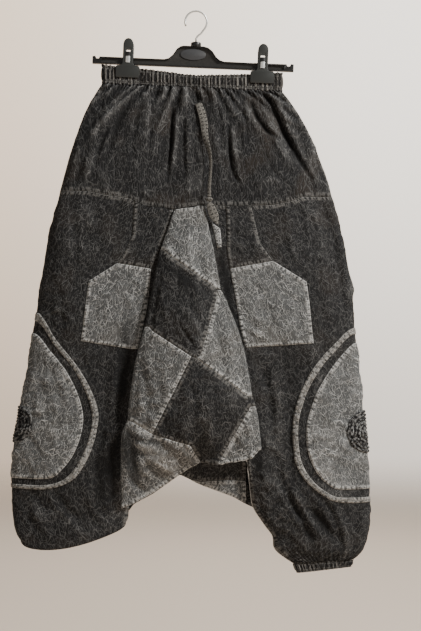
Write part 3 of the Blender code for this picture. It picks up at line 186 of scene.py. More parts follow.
def lineField(x, z, line):
    # distance to a polyline and share of the way along it, for every point
    line = np.asarray(line, float)
    steps = np.linalg.norm(np.diff(line, axis=0), axis=1)
    travel = np.concatenate(([0], np.cumsum(steps)))
    best = np.full(x.shape, 1e9)
    run = np.zeros(x.shape)
    for k in range(len(line) - 1):
        d = line[k + 1] - line[k]
        t = ((x - line[k, 0]) * d[0] + (z - line[k, 1]) * d[1]) / max(steps[k] ** 2, 1e-9)
        t = np.clip(t, 0, 1)
        gap = np.hypot(x - line[k, 0] - t * d[0], z - line[k, 1] - t * d[1])
        nearer = gap < best
        best = np.where(nearer, gap, best)
        run = np.where(nearer, travel[k] + t * steps[k], run)
    return best, run, travel[-1]


def creased(x, z, folds):
    # sum of folds: each a bell across its line and an arch along it; height + stands out
    total = np.zeros(x.shape)
    for height, width, *line in folds:
        gap, run, length = lineField(x, z, curveThrough(line, 8) if len(line) > 2 else line)
        share = np.clip(run / length, 0, 1)
        arch = np.sin(math.pi * (0.06 + 0.88 * share)) ** 0.6
        bell = np.exp(-(gap / width) ** 2) - 0.35 * np.exp(-((gap - 2.1 * width) / width) ** 2)
        total += height * arch * bell
    return total


def pressed(folds, x, z):
    # broad soft folds: bell across a line, fading past its ends
    total = np.zeros(np.broadcast(x, z).shape)
    for x0, z0, x1, z1, halfWidth, depth in folds:
        run = np.array((x1 - x0, z1 - z0), float)
        length = np.hypot(*run)
        forward = ((x - x0) * run[0] + (z - z0) * run[1]) / length
        across = ((x - x0) * run[1] - (z - z0) * run[0]) / length
        past = np.maximum(np.maximum(-forward, forward - length), 0)
        total += depth * np.exp(-(across / halfWidth) ** 2 - (past / (1.5 * halfWidth)) ** 2)
    return total


def gridFaces(rows, columns, closed=False):
    # quads of a grid, joined round if closed
    index = np.arange(rows * columns).reshape(rows, columns)
    if closed:
        index = np.concatenate((index, index[:, :1]), 1)
    return np.stack((index[:-1, :-1], index[:-1, 1:], index[1:, 1:], index[1:, :-1]), -1).reshape(-1, 4)


def meshFrom(name, points, faces, uv=None, fields=None, smoothShade=True):
    # a mesh from whole arrays: points in millimetres, faces of equal size, a UV and values a point
    mesh = bpy.data.meshes.new(name)
    points = np.ascontiguousarray(points.reshape(-1, 3) * mm, dtype=np.float32)
    faces = np.ascontiguousarray(faces, dtype=np.int32)
    mesh.vertices.add(len(points))
    mesh.vertices.foreach_set("co", points.ravel())
    mesh.loops.add(faces.size)
    mesh.loops.foreach_set("vertex_index", faces.ravel())
    mesh.polygons.add(len(faces))
    mesh.polygons.foreach_set("loop_start", np.arange(0, faces.size, faces.shape[1], dtype=np.int32))
    mesh.update(calc_edges=True)
    if uv is not None:
        layer = mesh.uv_layers.new(name="cloth")
        layer.data.foreach_set("uv", (uv.reshape(-1, 2) * mm)[faces.ravel()].astype(np.float32).ravel())
    for key, values in (fields or {}).items():
        attribute = mesh.attributes.new(key, "FLOAT", "POINT")
        attribute.data.foreach_set("value", values.astype(np.float32).ravel())
    mesh.shade_smooth() if smoothShade else mesh.shade_flat()
    mesh.validate()
    return mesh


def place(name, mesh, mat, nodes):
    # puts a finished mesh into the scene: it rides on the one body and stands in for its nodes
    piece = bpy.data.objects.new(name, mesh)
    piece.data.materials.append(mat)
    bpy.context.scene.collection.objects.link(piece)
    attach(piece, "root")
    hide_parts(*nodes)
    return piece


def areaOf(points):
    # sum of the grid's cells, each half the cross product of its diagonals
    across = points[1:, 1:] - points[:-1, :-1]
    back = points[1:, :-1] - points[:-1, 1:]
    return 0.5 * np.linalg.norm(np.cross(across, back), axis=-1).sum()


seamReach = {"far": 60.0, "apart": 37.0}


def seamFields(flat, seams):
    # for every point, how near the nearest seam is (far at most) and how far along it the point lies;
    # each seam's count starts apart after the end of the one before
    gap = np.full(flat.shape[:-1], seamReach["far"])
    run = np.zeros(flat.shape[:-1])
    start = 0.0
    for seam in seams:
        near, far, length = lineField(flat[..., 0], flat[..., 1], seam)
        nearer = near < gap
        gap = np.where(nearer, near, gap)
        run = np.where(nearer, start + far, run)
        start += length + seamReach["apart"]
    return {"seamGap": gap * mm, "seamRun": run * mm}


# the flat cut, in metres: least side, least share of it that cloth fills, share below which it is a strip
cut = {"least": 0.011, "leastShare": 0.301, "stripShare": 0.32, "over": 1.001}


def declareSheet(flat, area, border=0.0):
    # works out the flat cut: the extent of flat, or a strip half the border long where the cloth is a thin
    # ring;
    # a cut smaller than its cloth is scaled up to it. The result is neither returned nor kept
    size = np.maximum((flat.max(0) - flat.min(0)) * mm, cut["least"])
    if border and area < cut["stripShare"] * size[0] * size[1]:
        size = np.array((border / 2, area / (border / 2)))
    if area > size[0] * size[1]:
        size = size * math.sqrt(area / (size[0] * size[1])) * cut["over"]
    area = max(area, cut["leastShare"] * size[0] * size[1])


def clothPiece(name, sheet, nodes, mat, thickness, seams=()):
    # a sheet as a thin wall: outer grid, the same grid moved in by thickness, and a rim all round
    points, normals = sheet["points"], sheet["normals"]
    rows, columns = points.shape[:2]
    outer = gridFaces(rows, columns)
    facing = np.cross(points[rows // 2, columns // 2 + 1] - points[rows // 2, columns // 2],
                      points[rows // 2 + 1, columns // 2] - points[rows // 2, columns // 2])
    if facing @ normals[rows // 2, columns // 2] < 0:
        outer = outer[:, ::-1]
    count = rows * columns
    index = np.arange(count).reshape(rows, columns)
    edge = np.concatenate((index[0, :-1], index[:-1, -1], index[-1, :0:-1], index[:0:-1, 0]))
    after = np.roll(edge, -1)
    rim = np.stack((edge, after, after + count, edge + count), 1)
    first = outer[0]
    if set(zip(first, np.roll(first, -1))) & {(edge[0], after[0])}:
        rim = rim[:, ::-1]
    faces = np.vstack((outer, outer[:, ::-1] + count, rim))
    both = np.vstack((points.reshape(-1, 3), (points - normals * thickness).reshape(-1, 3)))
    fields = dict(seamFields(sheet["flat"], seams), relief=sheet.get("relief", np.zeros((rows, columns))))
    fields = {key: np.concatenate((value.ravel(), value.ravel())) for key, value in fields.items()}
    flat = sheet["flat"].reshape(-1, 2)
    mesh = meshFrom(name, both, faces, np.vstack((flat, flat)), fields)
    piece = place(name, mesh, mat, nodes)
    declareSheet(flat, areaOf(points) * mm * mm)


def tubeMesh(name, path, radius, sides=10):
    # circles carried along a path: each ring is the path point plus radius times two cross directions
    path = np.asarray(path, float)
    way = unit(np.gradient(path, axis=0))
    up = unit(np.cross(way, (0.31, 0.95, 0.05)))
    out = np.cross(way, up)
    angle = np.linspace(0, 2 * math.pi, sides, endpoint=False)[:, None, None]
    radius = np.broadcast_to(np.asarray(radius, float), (len(path),))[:, None]
    rings = (path + radius * (np.cos(angle) * up + np.sin(angle) * out)).transpose(1, 0, 2)
    mesh = meshFrom(name, rings, gridFaces(len(path), sides, closed=True))
    closeEnds(mesh)
    return mesh


def closeEnds(mesh):
    # fills open rims and turns every face outwards
    bm = bmesh.new()
    bm.from_mesh(mesh)
    bmesh.ops.holes_fill(bm, edges=[e for e in bm.edges if e.is_boundary], sides=0)
    bmesh.ops.recalc_face_normals(bm, faces=bm.faces)
    bm.to_mesh(mesh)
    bm.free()
    mesh.shade_smooth()


def newMaterial(name):
    mat = bpy.data.materials.new(name)
    mat.use_nodes = True
    return mat, mat.node_tree, mat.node_tree.nodes["Principled BSDF"]


def node(tree, kind, settings=None, **inputs):
    # a node with its settings and its inputs, which are values or other sockets
    made = tree.nodes.new(kind)
    for key, value in (settings or {}).items():
        setattr(made, key, value)
    for key, value in inputs.items():
        socket = made.inputs[int(key[1:]) if key[0] == "i" and key[1:].isdigit() else key]
        if isinstance(value, bpy.types.NodeSocket):
            tree.links.new(value, socket)
        else:
            socket.default_value = value
    return made


def sums(tree, operation, a, b=0.0, c=0.0, clamp=False):
    # one arithmetic step; c is read by the operations of three values
    made = node(tree, "ShaderNodeMath", {"operation": operation, "use_clamp": clamp}, i0=a, i1=b)
    if operation in ("MULTIPLY_ADD", "SMOOTH_MIN", "SMOOTH_MAX"):
        if isinstance(c, bpy.types.NodeSocket):
            tree.links.new(c, made.inputs[2])
        else:
            made.inputs[2].default_value = c
    return made.outputs[0]


def times(tree, a, b, clamp=False):
    return sums(tree, "MULTIPLY", a, b, clamp=clamp)


def largest(tree, values):
    # the largest of several sockets
    result = values[0]
    for value in values[1:]:
        result = sums(tree, "MAXIMUM", result, value)
    return result


def vectors(tree, a, b, operation="ADD"):
    return node(tree, "ShaderNodeVectorMath", {"operation": operation}, i0=a, i1=b).outputs[0]


def scaledBy(tree, vector, scale):
    return node(tree, "ShaderNodeVectorMath", {"operation": "SCALE"}, Vector=vector, Scale=scale).outputs[0]


def noise(tree, spot, scale, detail, flat=True, out="Fac", **more):
    # noise of two dimensions where flat, else of three
    kind = {"noise_dimensions": "2D"} if flat else {}
    made = node(tree, "ShaderNodeTexNoise", kind, Vector=spot, Scale=scale, Detail=detail, **more)
    return made.outputs[out]


def attribute(tree, name):
    return node(tree, "ShaderNodeAttribute", {"attribute_name": name}).outputs["Fac"]


def clothPlace(tree):
    # the place on the flat cloth, in millimetres
    return scaledBy(tree, node(tree, "ShaderNodeUVMap", {"uv_map": "cloth"}).outputs[0], 1000.0)


def finished(tree, shader, colour, height, strength, distance, roughness, specular=0.5):
    # links a material's colour and bump, and sets its sheen
    tree.links.new(colour, shader.inputs["Base Color"])
    bump = node(tree, "ShaderNodeBump", {}, Strength=strength, Distance=distance, Height=height)
    tree.links.new(bump.outputs[0], shader.inputs["Normal"])
    shader.inputs["Roughness"].default_value = roughness
    shader.inputs["Specular IOR Level"].default_value = specular


def ranged(tree, value, low, high, toLow=0.0, toHigh=1.0):
    # a smooth step from toLow at low to toHigh at high
    made = node(tree, "ShaderNodeMapRange", {"interpolation_type": "SMOOTHSTEP"})
    tree.links.new(value, made.inputs[0])
    for k, number in ((1, low), (2, high), (3, toLow), (4, toHigh)):
        made.inputs[k].default_value = number
    return made.outputs[0]


def blended(tree, share, a, b, kind="MIX"):
    # share, a and b are colours or sockets
    made = node(tree, "ShaderNodeMix", {"data_type": "RGBA", "blend_type": kind})
    for k, value in ((0, share), (6, a), (7, b)):
        if isinstance(value, bpy.types.NodeSocket):
            tree.links.new(value, made.inputs[k])
        elif k:
            made.inputs[k].default_value = (*value, 1)
        else:
            made.inputs[k].default_value = value
    return made.outputs[2]


print("helpers ready")


view = {"place": (26.1, -2600, -546.3), "width": 757.8, "sensor": 36.0}


def camera(v):
    # looks along +Y; its lens makes the plane y = 0 as wide as width in the frame
    lens = bpy.data.cameras.new("camera")
    lens.sensor_fit = "HORIZONTAL"
    lens.sensor_width = v["sensor"]
    lens.lens = v["sensor"] * -v["place"][1] / v["width"]
    lens.clip_start = 0.05
    lens.clip_end = 30
    eye = bpy.data.objects.new("camera", lens)
    eye.location = Vector(v["place"]) * mm
    eye.rotation_euler = (math.pi / 2, 0, 0)
    bpy.context.scene.collection.objects.link(eye)
    bpy.context.scene.camera = eye


studio = {
    "floorHeight": -1.35, "floorSize": 12.0, "floorColour": (0.585, 0.495, 0.41),
    "roomColour": (0.235, 0.234, 0.231), "horizonColour": (1.02, 0.90, 0.78), "skyColour": (2.45, 2.28, 2.04),
    "leftTint": (0.68, 0.575, 0.485), "fadeFrom": 2.6, "fadeTo": 5.8,
    "keyPlace": (2.05, -1.45, 1.25), "keySize": 0.7, "keyPower": 172,
    "fillPlace": (-2.2, -2.4, -0.3), "fillSize": 2.2, "fillPower": 8,
    "backPlace": (0.4, 2.6, 0.8), "backSize": 2.0, "backPower": 40,
    "aim": (0.02, 0.0, -0.55),
}


def areaLight(name, spot, size, power, aim):
    # a round lamp turned to face aim
    lamp = bpy.data.lights.new(name, "AREA")
    lamp.shape = "DISK"
    lamp.size = size
    lamp.energy = power
    lamp.color = (1.0, 0.975, 0.94)
    holder = bpy.data.objects.new(name, lamp)
    holder.location = spot
    holder.rotation_euler = (Vector(aim) - Vector(spot)).to_track_quat("-Z", "Y").to_euler()
    bpy.context.scene.collection.objects.link(holder)


def stageAll(s):
    half = s["floorSize"] / 2
    corners = np.array([(-half, -half, 0), (half, -half, 0), (half, half, 0), (-half, half, 0)], float)
    corners[:, 2] = s["floorHeight"]
    mesh = meshFrom("floor", corners / mm, np.array([[0, 1, 2, 3]]), smoothShade=False)
    floor = bpy.data.objects.new("floor", mesh)
    bpy.context.scene.collection.objects.link(floor)
    mat, tree, shader = newMaterial("pale floor")
    shader.inputs["Base Color"].default_value = (*s["floorColour"], 1)
    shader.inputs["Roughness"].default_value = 0.8
    way = node(tree, "ShaderNodeSeparateXYZ", {}, i0=node(tree, "ShaderNodeTexCoord").outputs["Object"])
    fade = ranged(tree, way.outputs[1], s["fadeFrom"], s["fadeTo"])
    clear = node(tree, "ShaderNodeBsdfTransparent").outputs[0]
    mixed = node(tree, "ShaderNodeMixShader", {}, i0=fade, i1=shader.outputs[0], i2=clear)
    tree.links.new(mixed.outputs[0], tree.nodes["Material Output"].inputs["Surface"])
    mesh.materials.append(mat)
    floor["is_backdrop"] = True
    # a dim room with a bright end at +Y, brighter upwards and tinted darker towards -X
    world = bpy.data.worlds.new("pale room")
    world.use_nodes = True
    tree = world.node_tree
    way = node(tree, "ShaderNodeSeparateXYZ", {}, i0=node(tree, "ShaderNodeTexCoord").outputs["Generated"])
    end = blended(tree, ranged(tree, way.outputs[2], -0.22, 0.24), s["horizonColour"], s["skyColour"])
    tint = blended(tree, ranged(tree, way.outputs[0], -0.20, 0.16), s["leftTint"], (1, 1, 1))
    end = blended(tree, 1.0, end, tint, "MULTIPLY")
    room = blended(tree, ranged(tree, way.outputs[1], 0.15, 0.9), s["roomColour"], end)
    tree.links.new(room, tree.nodes["Background"].inputs["Color"])
    bpy.context.scene.world = world
    for part in ("key", "fill", "back"):
        areaLight(part + " light", s[part + "Place"], s[part + "Size"], s[part + "Power"], s["aim"])


camera(view)
stageAll(studio)
print("camera, floor and light ready")


# in each look: deep and body are the cloth's own tones, brown its tint, vein its crinkle lines, grooveShade
# the colour of painted shade, seamLight the seams' light marks, and crestWearAndLight how much raised cloth
# is painted lighter, for wear and for light
darkLook = {"deep": (0.0056, 0.0057, 0.0062), "body": (0.0130, 0.0131, 0.0139),
            "vein": (0.165, 0.165, 0.162), "brown": (0.0175, 0.0145, 0.0127),
            "grooveShade": (0.0026, 0.0026, 0.0028), "seamLight": (0.175, 0.171, 0.162),
            "veinShare": 0.46, "grooveShadeShare": 0.75, "crestWearAndLight": 0.16}
paleLook = {"deep": (0.046, 0.0485, 0.0495), "body": (0.100, 0.1035, 0.1035),
            "vein": (0.50, 0.505, 0.495), "brown": (0.082, 0.079, 0.073),
            "grooveShade": (0.013, 0.0134, 0.0138), "seamLight": (0.50, 0.50, 0.485),
            "veinShare": 0.60, "grooveShadeShare": 0.85, "crestWearAndLight": 0.24}


def crinkleLines(tree, place3d, size, turn, stretch, width, seed):
    # thin bent lines: the edges of stretched Voronoi cells, size and width in millimetres
    turned = node(tree, "ShaderNodeMapping", {}, Vector=place3d, Location=(seed, seed * 0.7, seed * 1.3),
                  Rotation=(0, 0, math.radians(turn)), Scale=(1 / size, 1 / (size * stretch), 1.0))
    cells = node(tree, "ShaderNodeTexVoronoi", {"feature": "DISTANCE_TO_EDGE", "voronoi_dimensions": "2D"},
                 Vector=turned.outputs[0], Scale=1.0, Randomness=1.0)
    return ranged(tree, cells.outputs["Distance"], 0.0, width / size, 1.0, 0.0)


# crinkle sets: direction in degrees, cell size, stretch, line width, seed, strength, scale of its patches
crinkleSets = [
    (28, 9.0, 1.9, 0.58, 3.0, 1.0, 0.12), (-50, 7.6, 2.0, 0.54, 11.0, 0.95, 0.13),
    (80, 6.2, 2.1, 0.50, 23.0, 0.85, 0.15), (-12, 4.6, 2.0, 0.46, 31.0, 0.6, 0.17),
    (14, 19.0, 1.7, 0.70, 41.0, 1.0, 0.05), (-64, 26.0, 1.6, 0.7, 57.0, 0.95, 0.045),
]
grooveOffset = (-0.9, 1.2, 0)


def crinkles(tree, spot, lean):
    # light lines and the dark grooves of painted shade beside them, each the largest of its sets: every set
    # is cut by patches of noise, and lean turns it towards the cloth's length and stretches it
    bent = spot
    for scale, reach in ((0.04, 11.0), (0.17, 2.8)):
        warp = vectors(tree, noise(tree, spot, scale, 1.0, out="Color"), (0.5, 0.5, 0.5), "SUBTRACT")
        bent = vectors(tree, bent, scaledBy(tree, warp, reach))
    beside = vectors(tree, bent, grooveOffset)
    lines, grooveShades = [], []
    for turn, size, stretch, width, seed, strength, patchy in crinkleSets:
        turn, stretch = turn * (1 - lean), stretch * (1 + 1.2 * lean)
        cloud = noise(tree, vectors(tree, spot, (seed * 9, seed, 0)), patchy, 1.5)
        broken = ranged(tree, cloud, 0.475, 0.56, 0.0, strength)
        lines.append(times(tree, crinkleLines(tree, bent, size, turn, stretch, width, seed), broken))
        grooveShade = crinkleLines(tree, beside, size, turn, stretch, width * 1.5, seed)
        grooveShades.append(times(tree, grooveShade, broken))
    return largest(tree, lines), largest(tree, grooveShades)


# bands beside a seam, as shares of its width: its rim, the stitched groove's inner side, its puckers
seamBands = {"rim": (0.16, 0.34), "inner": (0.40, 0.58), "strip": (0.60, 1.35)}


def seamMarks(tree, grain, seamWidth, pitch):
    # a light turned edge, a dark stitched groove, then lighter puckers that fade inward: noise read
    # along the seam, times a band across it
    gap, run = attribute(tree, "seamGap"), attribute(tree, "seamRun")

    def across(part, outside, inside):
        low, high = seamBands[part]
        return ranged(tree, gap, seamWidth * low, seamWidth * high, outside, inside)

    track = node(tree, "ShaderNodeCombineXYZ", {}, i0=times(tree, run, 1000.0),
                 i1=times(tree, times(tree, gap, 1000.0), 0.3)).outputs[0]
    dash = noise(tree, track, 1 / pitch, 1.5)
    pucker = ranged(tree, dash, 0.42, 0.56)
    rim, inner, strip = across("rim", 1.0, 0.0), across("inner", 0.0, 1.0), across("strip", 1.0, 0.0)
    stitched = times(tree, sums(tree, "SUBTRACT", 1.0, rim), sums(tree, "SUBTRACT", 1.0, inner))
    # painted shadow in a thin line at the seam's very edge
    edge = times(tree, ranged(tree, gap, 0.0003, 0.0009, 1.0, 0.0), 0.6)
    light = times(tree, strip, sums(tree, "MULTIPLY_ADD", pucker, 0.66, 0.08))
    light = times(tree, light, ranged(tree, grain, 0.34, 0.60, 0.4, 1.0))
    light = largest(tree, [light, times(tree, rim, ranged(tree, dash, 0.36, 0.58, 0.45, 0.85))])
    dark = times(tree, stitched, ranged(tree, dash, 0.40, 0.60, 0.75, 0.25))
    dark = largest(tree, [dark, times(tree, strip, ranged(tree, dash, 0.34, 0.44, 0.6, 0.0))])
    return light, dark, edge, times(tree, strip, pucker)


def crinkledCotton(name, look, seamWidth=0.0075, lean=0.0, pitch=4.2):
    # crinkle lines over patchy cloth, with painted shade in the folds and painted light with wear on the
    # crests, with puckered seams
    mat, tree, shader = newMaterial(name)
    spot = clothPlace(tree)
    lines, grooveShades = crinkles(tree, spot, lean)
    grain = noise(tree, spot, 0.55, 2.0, Roughness=0.6)
    blotch = noise(tree, spot, 0.024, 3.0)
    tint = noise(tree, vectors(tree, spot, (300, 90, 0)), 0.013, 2.0)
    relief = attribute(tree, "relief")
    # painted shade where the relief is sunk; painted light, partly wear, where it is raised, and on the
    # crinkle lines there
    hollowShade = ranged(tree, times(tree, relief, -1.0), 0.06, 1.1, 0.0, 0.8)
    raised = ranged(tree, relief, 0.05, 1.0)
    linesWornAndLit = times(tree, lines, sums(tree, "MULTIPLY_ADD", raised, 0.5, look["veinShare"]), clamp=True)
    light, dark, edge, puckered = seamMarks(tree, grain, seamWidth, pitch)

    tone = sums(tree, "MULTIPLY_ADD", ranged(tree, grain, 0.3, 0.72), 0.62,
                times(tree, ranged(tree, blotch, 0.33, 0.68), 0.38))
    colour = blended(tree, tone, look["deep"], look["body"])
    # the colour, layer on layer: a brown tint, the grooves' painted shade, the crinkle lines, painted light
    # with wear on raised cloth, painted shade in its hollows, the seams' marks and the painted shadow at
    # their edge
    for share, over in (
            (ranged(tree, tint, 0.50, 0.72, 0.0, 0.7), "brown"),
            (times(tree, grooveShades, look["grooveShadeShare"]), "grooveShade"),
            (linesWornAndLit, "vein"), (times(tree, raised, look["crestWearAndLight"]), "vein"), (hollowShade, "grooveShade"),
            (light, "seamLight"), (dark, "grooveShade"), (edge, "grooveShade")):
        colour = blended(tree, share, colour, look[over])

    height = sums(tree, "MULTIPLY_ADD", lines, 0.9, times(tree, grain, 0.22))
    height = sums(tree, "SUBTRACT", height, times(tree, grooveShades, 0.7))
    height = sums(tree, "ADD", height, times(tree, puckered, 0.9))
    finished(tree, shader, colour, height, 0.9, 0.0011, 0.9, 0.25)
    return mat


darkCotton = crinkledCotton("dark crinkled cotton", darkLook, 0.0060)
yokeLook = dict(darkLook, veinShare=0.36, seamLight=(0.135, 0.132, 0.125),
                brown=(0.024, 0.0190, 0.0155), crestWearAndLight=0.22)
yokeCotton = crinkledCotton("dark cotton of the yoke", yokeLook, 0.0075, 0.70)
paleCotton = crinkledCotton("pale crinkled cotton", paleLook, 0.0066)
bindingLook = dict(paleLook, body=(0.19, 0.188, 0.178), seamLight=(0.40, 0.39, 0.365))
tapedCotton = crinkledCotton("pale cotton binding", bindingLook, 0.0050, 0.0, 5.5)
tapeLook = {"deep": (0.055, 0.053, 0.048), "body": (0.175, 0.168, 0.153), "mark": (0.012, 0.011, 0.010),
            "row": 7.0, "across": 7.2}


def wovenTape(name, look):
    # pale tape with rows of short dark marks: where a sine along and a cosine across are both high
    mat, tree, shader = newMaterial(name)
    spot = clothPlace(tree)
    grain = noise(tree, spot, 0.6, 2.0)
    way = node(tree, "ShaderNodeSeparateXYZ", {}, i0=spot)
    wander = times(tree, grain, 4.2)
    run = sums(tree, "MULTIPLY_ADD", way.outputs[1], 2 * math.pi / look["row"], wander)
    wide = sums(tree, "MULTIPLY_ADD", way.outputs[0], 2 * math.pi / look["across"], wander)
    rows = ranged(tree, sums(tree, "SINE", run), 0.15, 0.75)
    marks = times(tree, rows, ranged(tree, sums(tree, "COSINE", wide), -0.55, 0.2))
    colour = blended(tree, ranged(tree, grain, 0.3, 0.7), look["deep"], look["body"])
    colour = blended(tree, times(tree, marks, 0.85), colour, look["mark"])
    height = sums(tree, "SUBTRACT", grain, times(tree, marks, 0.8))
    finished(tree, shader, colour, height, 0.8, 0.0006, 0.9, 0.2)
    return mat


tapeCotton = wovenTape("drawstring tape", tapeLook)


def cordMaterial(name, look):
    # slanted threads in colour and bump, from a wave turned across the cord
    mat, tree, shader = newMaterial(name)
    place3d = node(tree, "ShaderNodeTexCoord").outputs["Object"]
    threads = node(tree, "ShaderNodeTexWave", {"wave_type": "BANDS", "bands_direction": "DIAGONAL"},
                   Vector=place3d, Scale=190.0, Distortion=4.0, Detail=2.0).outputs["Fac"]
    grain = noise(tree, place3d, 900.0, 2.0, flat=False)
    tone = sums(tree, "MULTIPLY_ADD", threads, 0.5, times(tree, grain, 0.5))
    # darker between the threads: painted shade in their grooves
    colour = blended(tree, tone, look["grooveShade"], look["body"])
    dashes = ranged(tree, noise(tree, place3d, 230.0, 1.0, flat=False), 0.46, 0.60, 0.0, 0.75)
    colour = blended(tree, dashes, colour, look["vein"])
    finished(tree, shader, colour, threads, 0.6, 0.0006, 0.9, 0.2)
    return mat


cordCotton = cordMaterial("dark cotton cord", darkLook)
print("cloth materials ready")


# the garment's form, shared by the pieces: x to the right, z up, the hook at 0, 0
seamGap = 0.3
yokeSeam = [
    (-245, -324), (-192, -324), (-160, -331), (-119, -337), (-92, -350), (-42, -357),
    (14, -349), (73, -351), (137, -349), (175, -341), (192, -334), (245, -334),
]
# fold at each side of the front gusset: z, x, radius of its roll
gussetLeft = [
    (-355, -36, 2.2), (-362, -38, 2.2), (-431, -64, 4.0), (-501, -77, 7.0), (-566, -91, 8.5),
    (-632, -108, 9.0), (-688, -116, 9.0), (-732, -121, 8.5), (-757, -131, 7.5),
    (-818, -133, 6.0), (-892, -133.5, 2.2),
]
gussetRight = [
    (-350, 15, 2.2), (-354, 15.5, 2.2), (-427, 30.5, 5.0), (-498, 44, 8.0), (-533, 59, 9.0),
    (-567, 73, 9.5), (-610, 86, 10.0), (-689, 100, 9.0), (-709, 106, 8.0), (-776, 116.5, 4.0),
]
# broad folds: x, z to x, z, half width, how far they sink
frontFolds = [
    (-43, -195, -46, -290, 22, 4.0), (59, -215, 62, -292, 20, 4.0),
    (112, -170, 150, -226, 20, 4.0), (136, -168, 208, -294, 20, 5.5),
    (-142, -160, -196, -232, 22, -4.0), (-100, -165, -120, -300, 24, -3.0),
    (5, -150, 6, -185, 16, 4.0), (-150, -700, -172, -880, 26, 4.0),
    (232, -360, 268, -500, 24, 5.0), (150, -640, 150, -840, 26, 4.0),
    (-250, -380, -225, -520, 28, -4.0), (200, -900, 262, -955, 20, 4.0),
    (-280, -880, -180, -925, 22, 3.5),
]
backFolds = [
    (-60, -180, -80, -300, 24, 4.0), (40, -180, 60, -310, 22, 4.0),
    (130, -170, 180, -280, 22, 4.5), (-140, -165, -190, -290, 24, 4.0),
    (0, -400, -10, -640, 34, 6.0), (-170, -420, -210, -700, 30, 4.0),
    (150, -420, 200, -680, 30, 4.0), (-90, -640, -130, -840, 26, 4.0),
    (110, -640, 150, -850, 26, 4.0), (200, -900, 262, -955, 20, 3.0),
]

# sections of a leg: outer z, outer x, inner z, back seam x, front depth, back depth, closed, sag
leftLeg = [
    (-324, -245, -360, -42, 24, 14, 0.00, 0),
    (-362, -256, -386, -45, 25, 15, 0.00, 0),
    (-410, -267, -425, -51, 27, 16, 0.00, 0),
    (-462, -276, -470, -57, 29, 17, 0.00, 0),
    (-516, -284, -521, -64, 30, 18, 0.00, 0),
    (-572, -292, -576, -72, 31, 18, 0.00, 0),
    (-628, -301, -630, -80, 31, 18, 0.00, 0),
    (-684, -310, -684, -88, 31, 18, 0.00, 0),
    (-738, -320, -734, -95, 31, 18, 0.00, 0),
    (-780, -327, -776, -101, 31, 18, 0.00, 0),
    (-818, -331, -812, -106, 30, 18, 0.00, 0),
    (-853, -332, -846, -112, 28, 18, 0.10, 1),
    (-884, -332, -876, -118, 25, 18, 0.30, 3),
    (-908, -330, -898, -121, 23, 17, 0.85, 7),
    (-928, -327, -910, -122, 22, 17, 1.00, 13),
    (-948, -316, -919, -126, 20, 16, 1.00, 21),
]
rightLeg = [
    (-334, 245, -352, 30, 24, 14, 0.00, 0),
    (-370, 256, -378, 33, 25, 15, 0.00, 0),
    (-416, 267, -419, 39, 27, 16, 0.00, 0),
    (-466, 276, -468, 45, 29, 17, 0.00, 0),
    (-518, 282, -518, 52, 30, 18, 0.00, 0),
    (-574, 286, -569, 58, 31, 18, 0.00, 0),
    (-630, 291, -621, 65, 31, 18, 0.00, 0),
    (-684, 296, -673, 72, 31, 18, 0.00, 0),
    (-732, 301, -720, 79, 31, 18, 0.00, 0),
    (-776, 305, -762, 86, 31, 18, 0.05, 0),
    (-814, 309, -800, 91, 31, 18, 0.20, 0),
    (-850, 311, -836, 95, 30, 18, 0.35, 0),
    (-882, 313, -866, 98, 29, 18, 0.60, 0),
    (-908, 313, -892, 103, 27, 18, 0.85, 0),
    (-930, 312, -922, 122, 25, 17, 1.00, 0),
    (-950, 308, -943, 137, 23, 16, 1.00, 0),
    (-966, 301, -964, 141, 20, 15, 1.00, 0),
    (-978, 291, -979, 157, 14, 12, 1.00, 0),
    (-985, 283, -989, 173, 8, 8, 1.00, 0),
]

leg = {"foldWidth": 14.0, "foldDepth": 11.0, "puffWidth": 90.0, "tuck": 14.0, "foldSteps": 8,
       "cell": 2.7, "backCell": 3.6, "wall": 1.1, "crumple": 1.5}


def depthAt(s, inner, depth, closed):
    # quarter ellipse at the fold plus a parabola's puff; both close again at the inner edge
    fold = leg["foldDepth"] * rounded(s, leg["foldWidth"])
    fold = fold * (1 - closed * (1 - rounded(inner, leg["foldWidth"])))
    puff = (depth - leg["foldDepth"]) * filled(s, leg["puffWidth"])
    return fold + puff * (1 - closed * (1 - filled(inner, leg["puffWidth"])))


def foldSteps(width, cell):
    # distances from the side fold: by equal angles round both edges, even between
    angles = np.linspace(0, math.pi / 2, leg["foldSteps"])
    ends = leg["foldWidth"] * (1 - np.cos(angles))
    middle = np.linspace(0, 1, int(300 / cell))[1:-1]
    width = np.asarray(width, float)[:, None]
    start = np.broadcast_to(ends, (len(width), len(ends)))
    return np.concatenate((start, ends[-1] + (width - 2 * ends[-1]) * middle, width - start[:, ::-1]), 1)


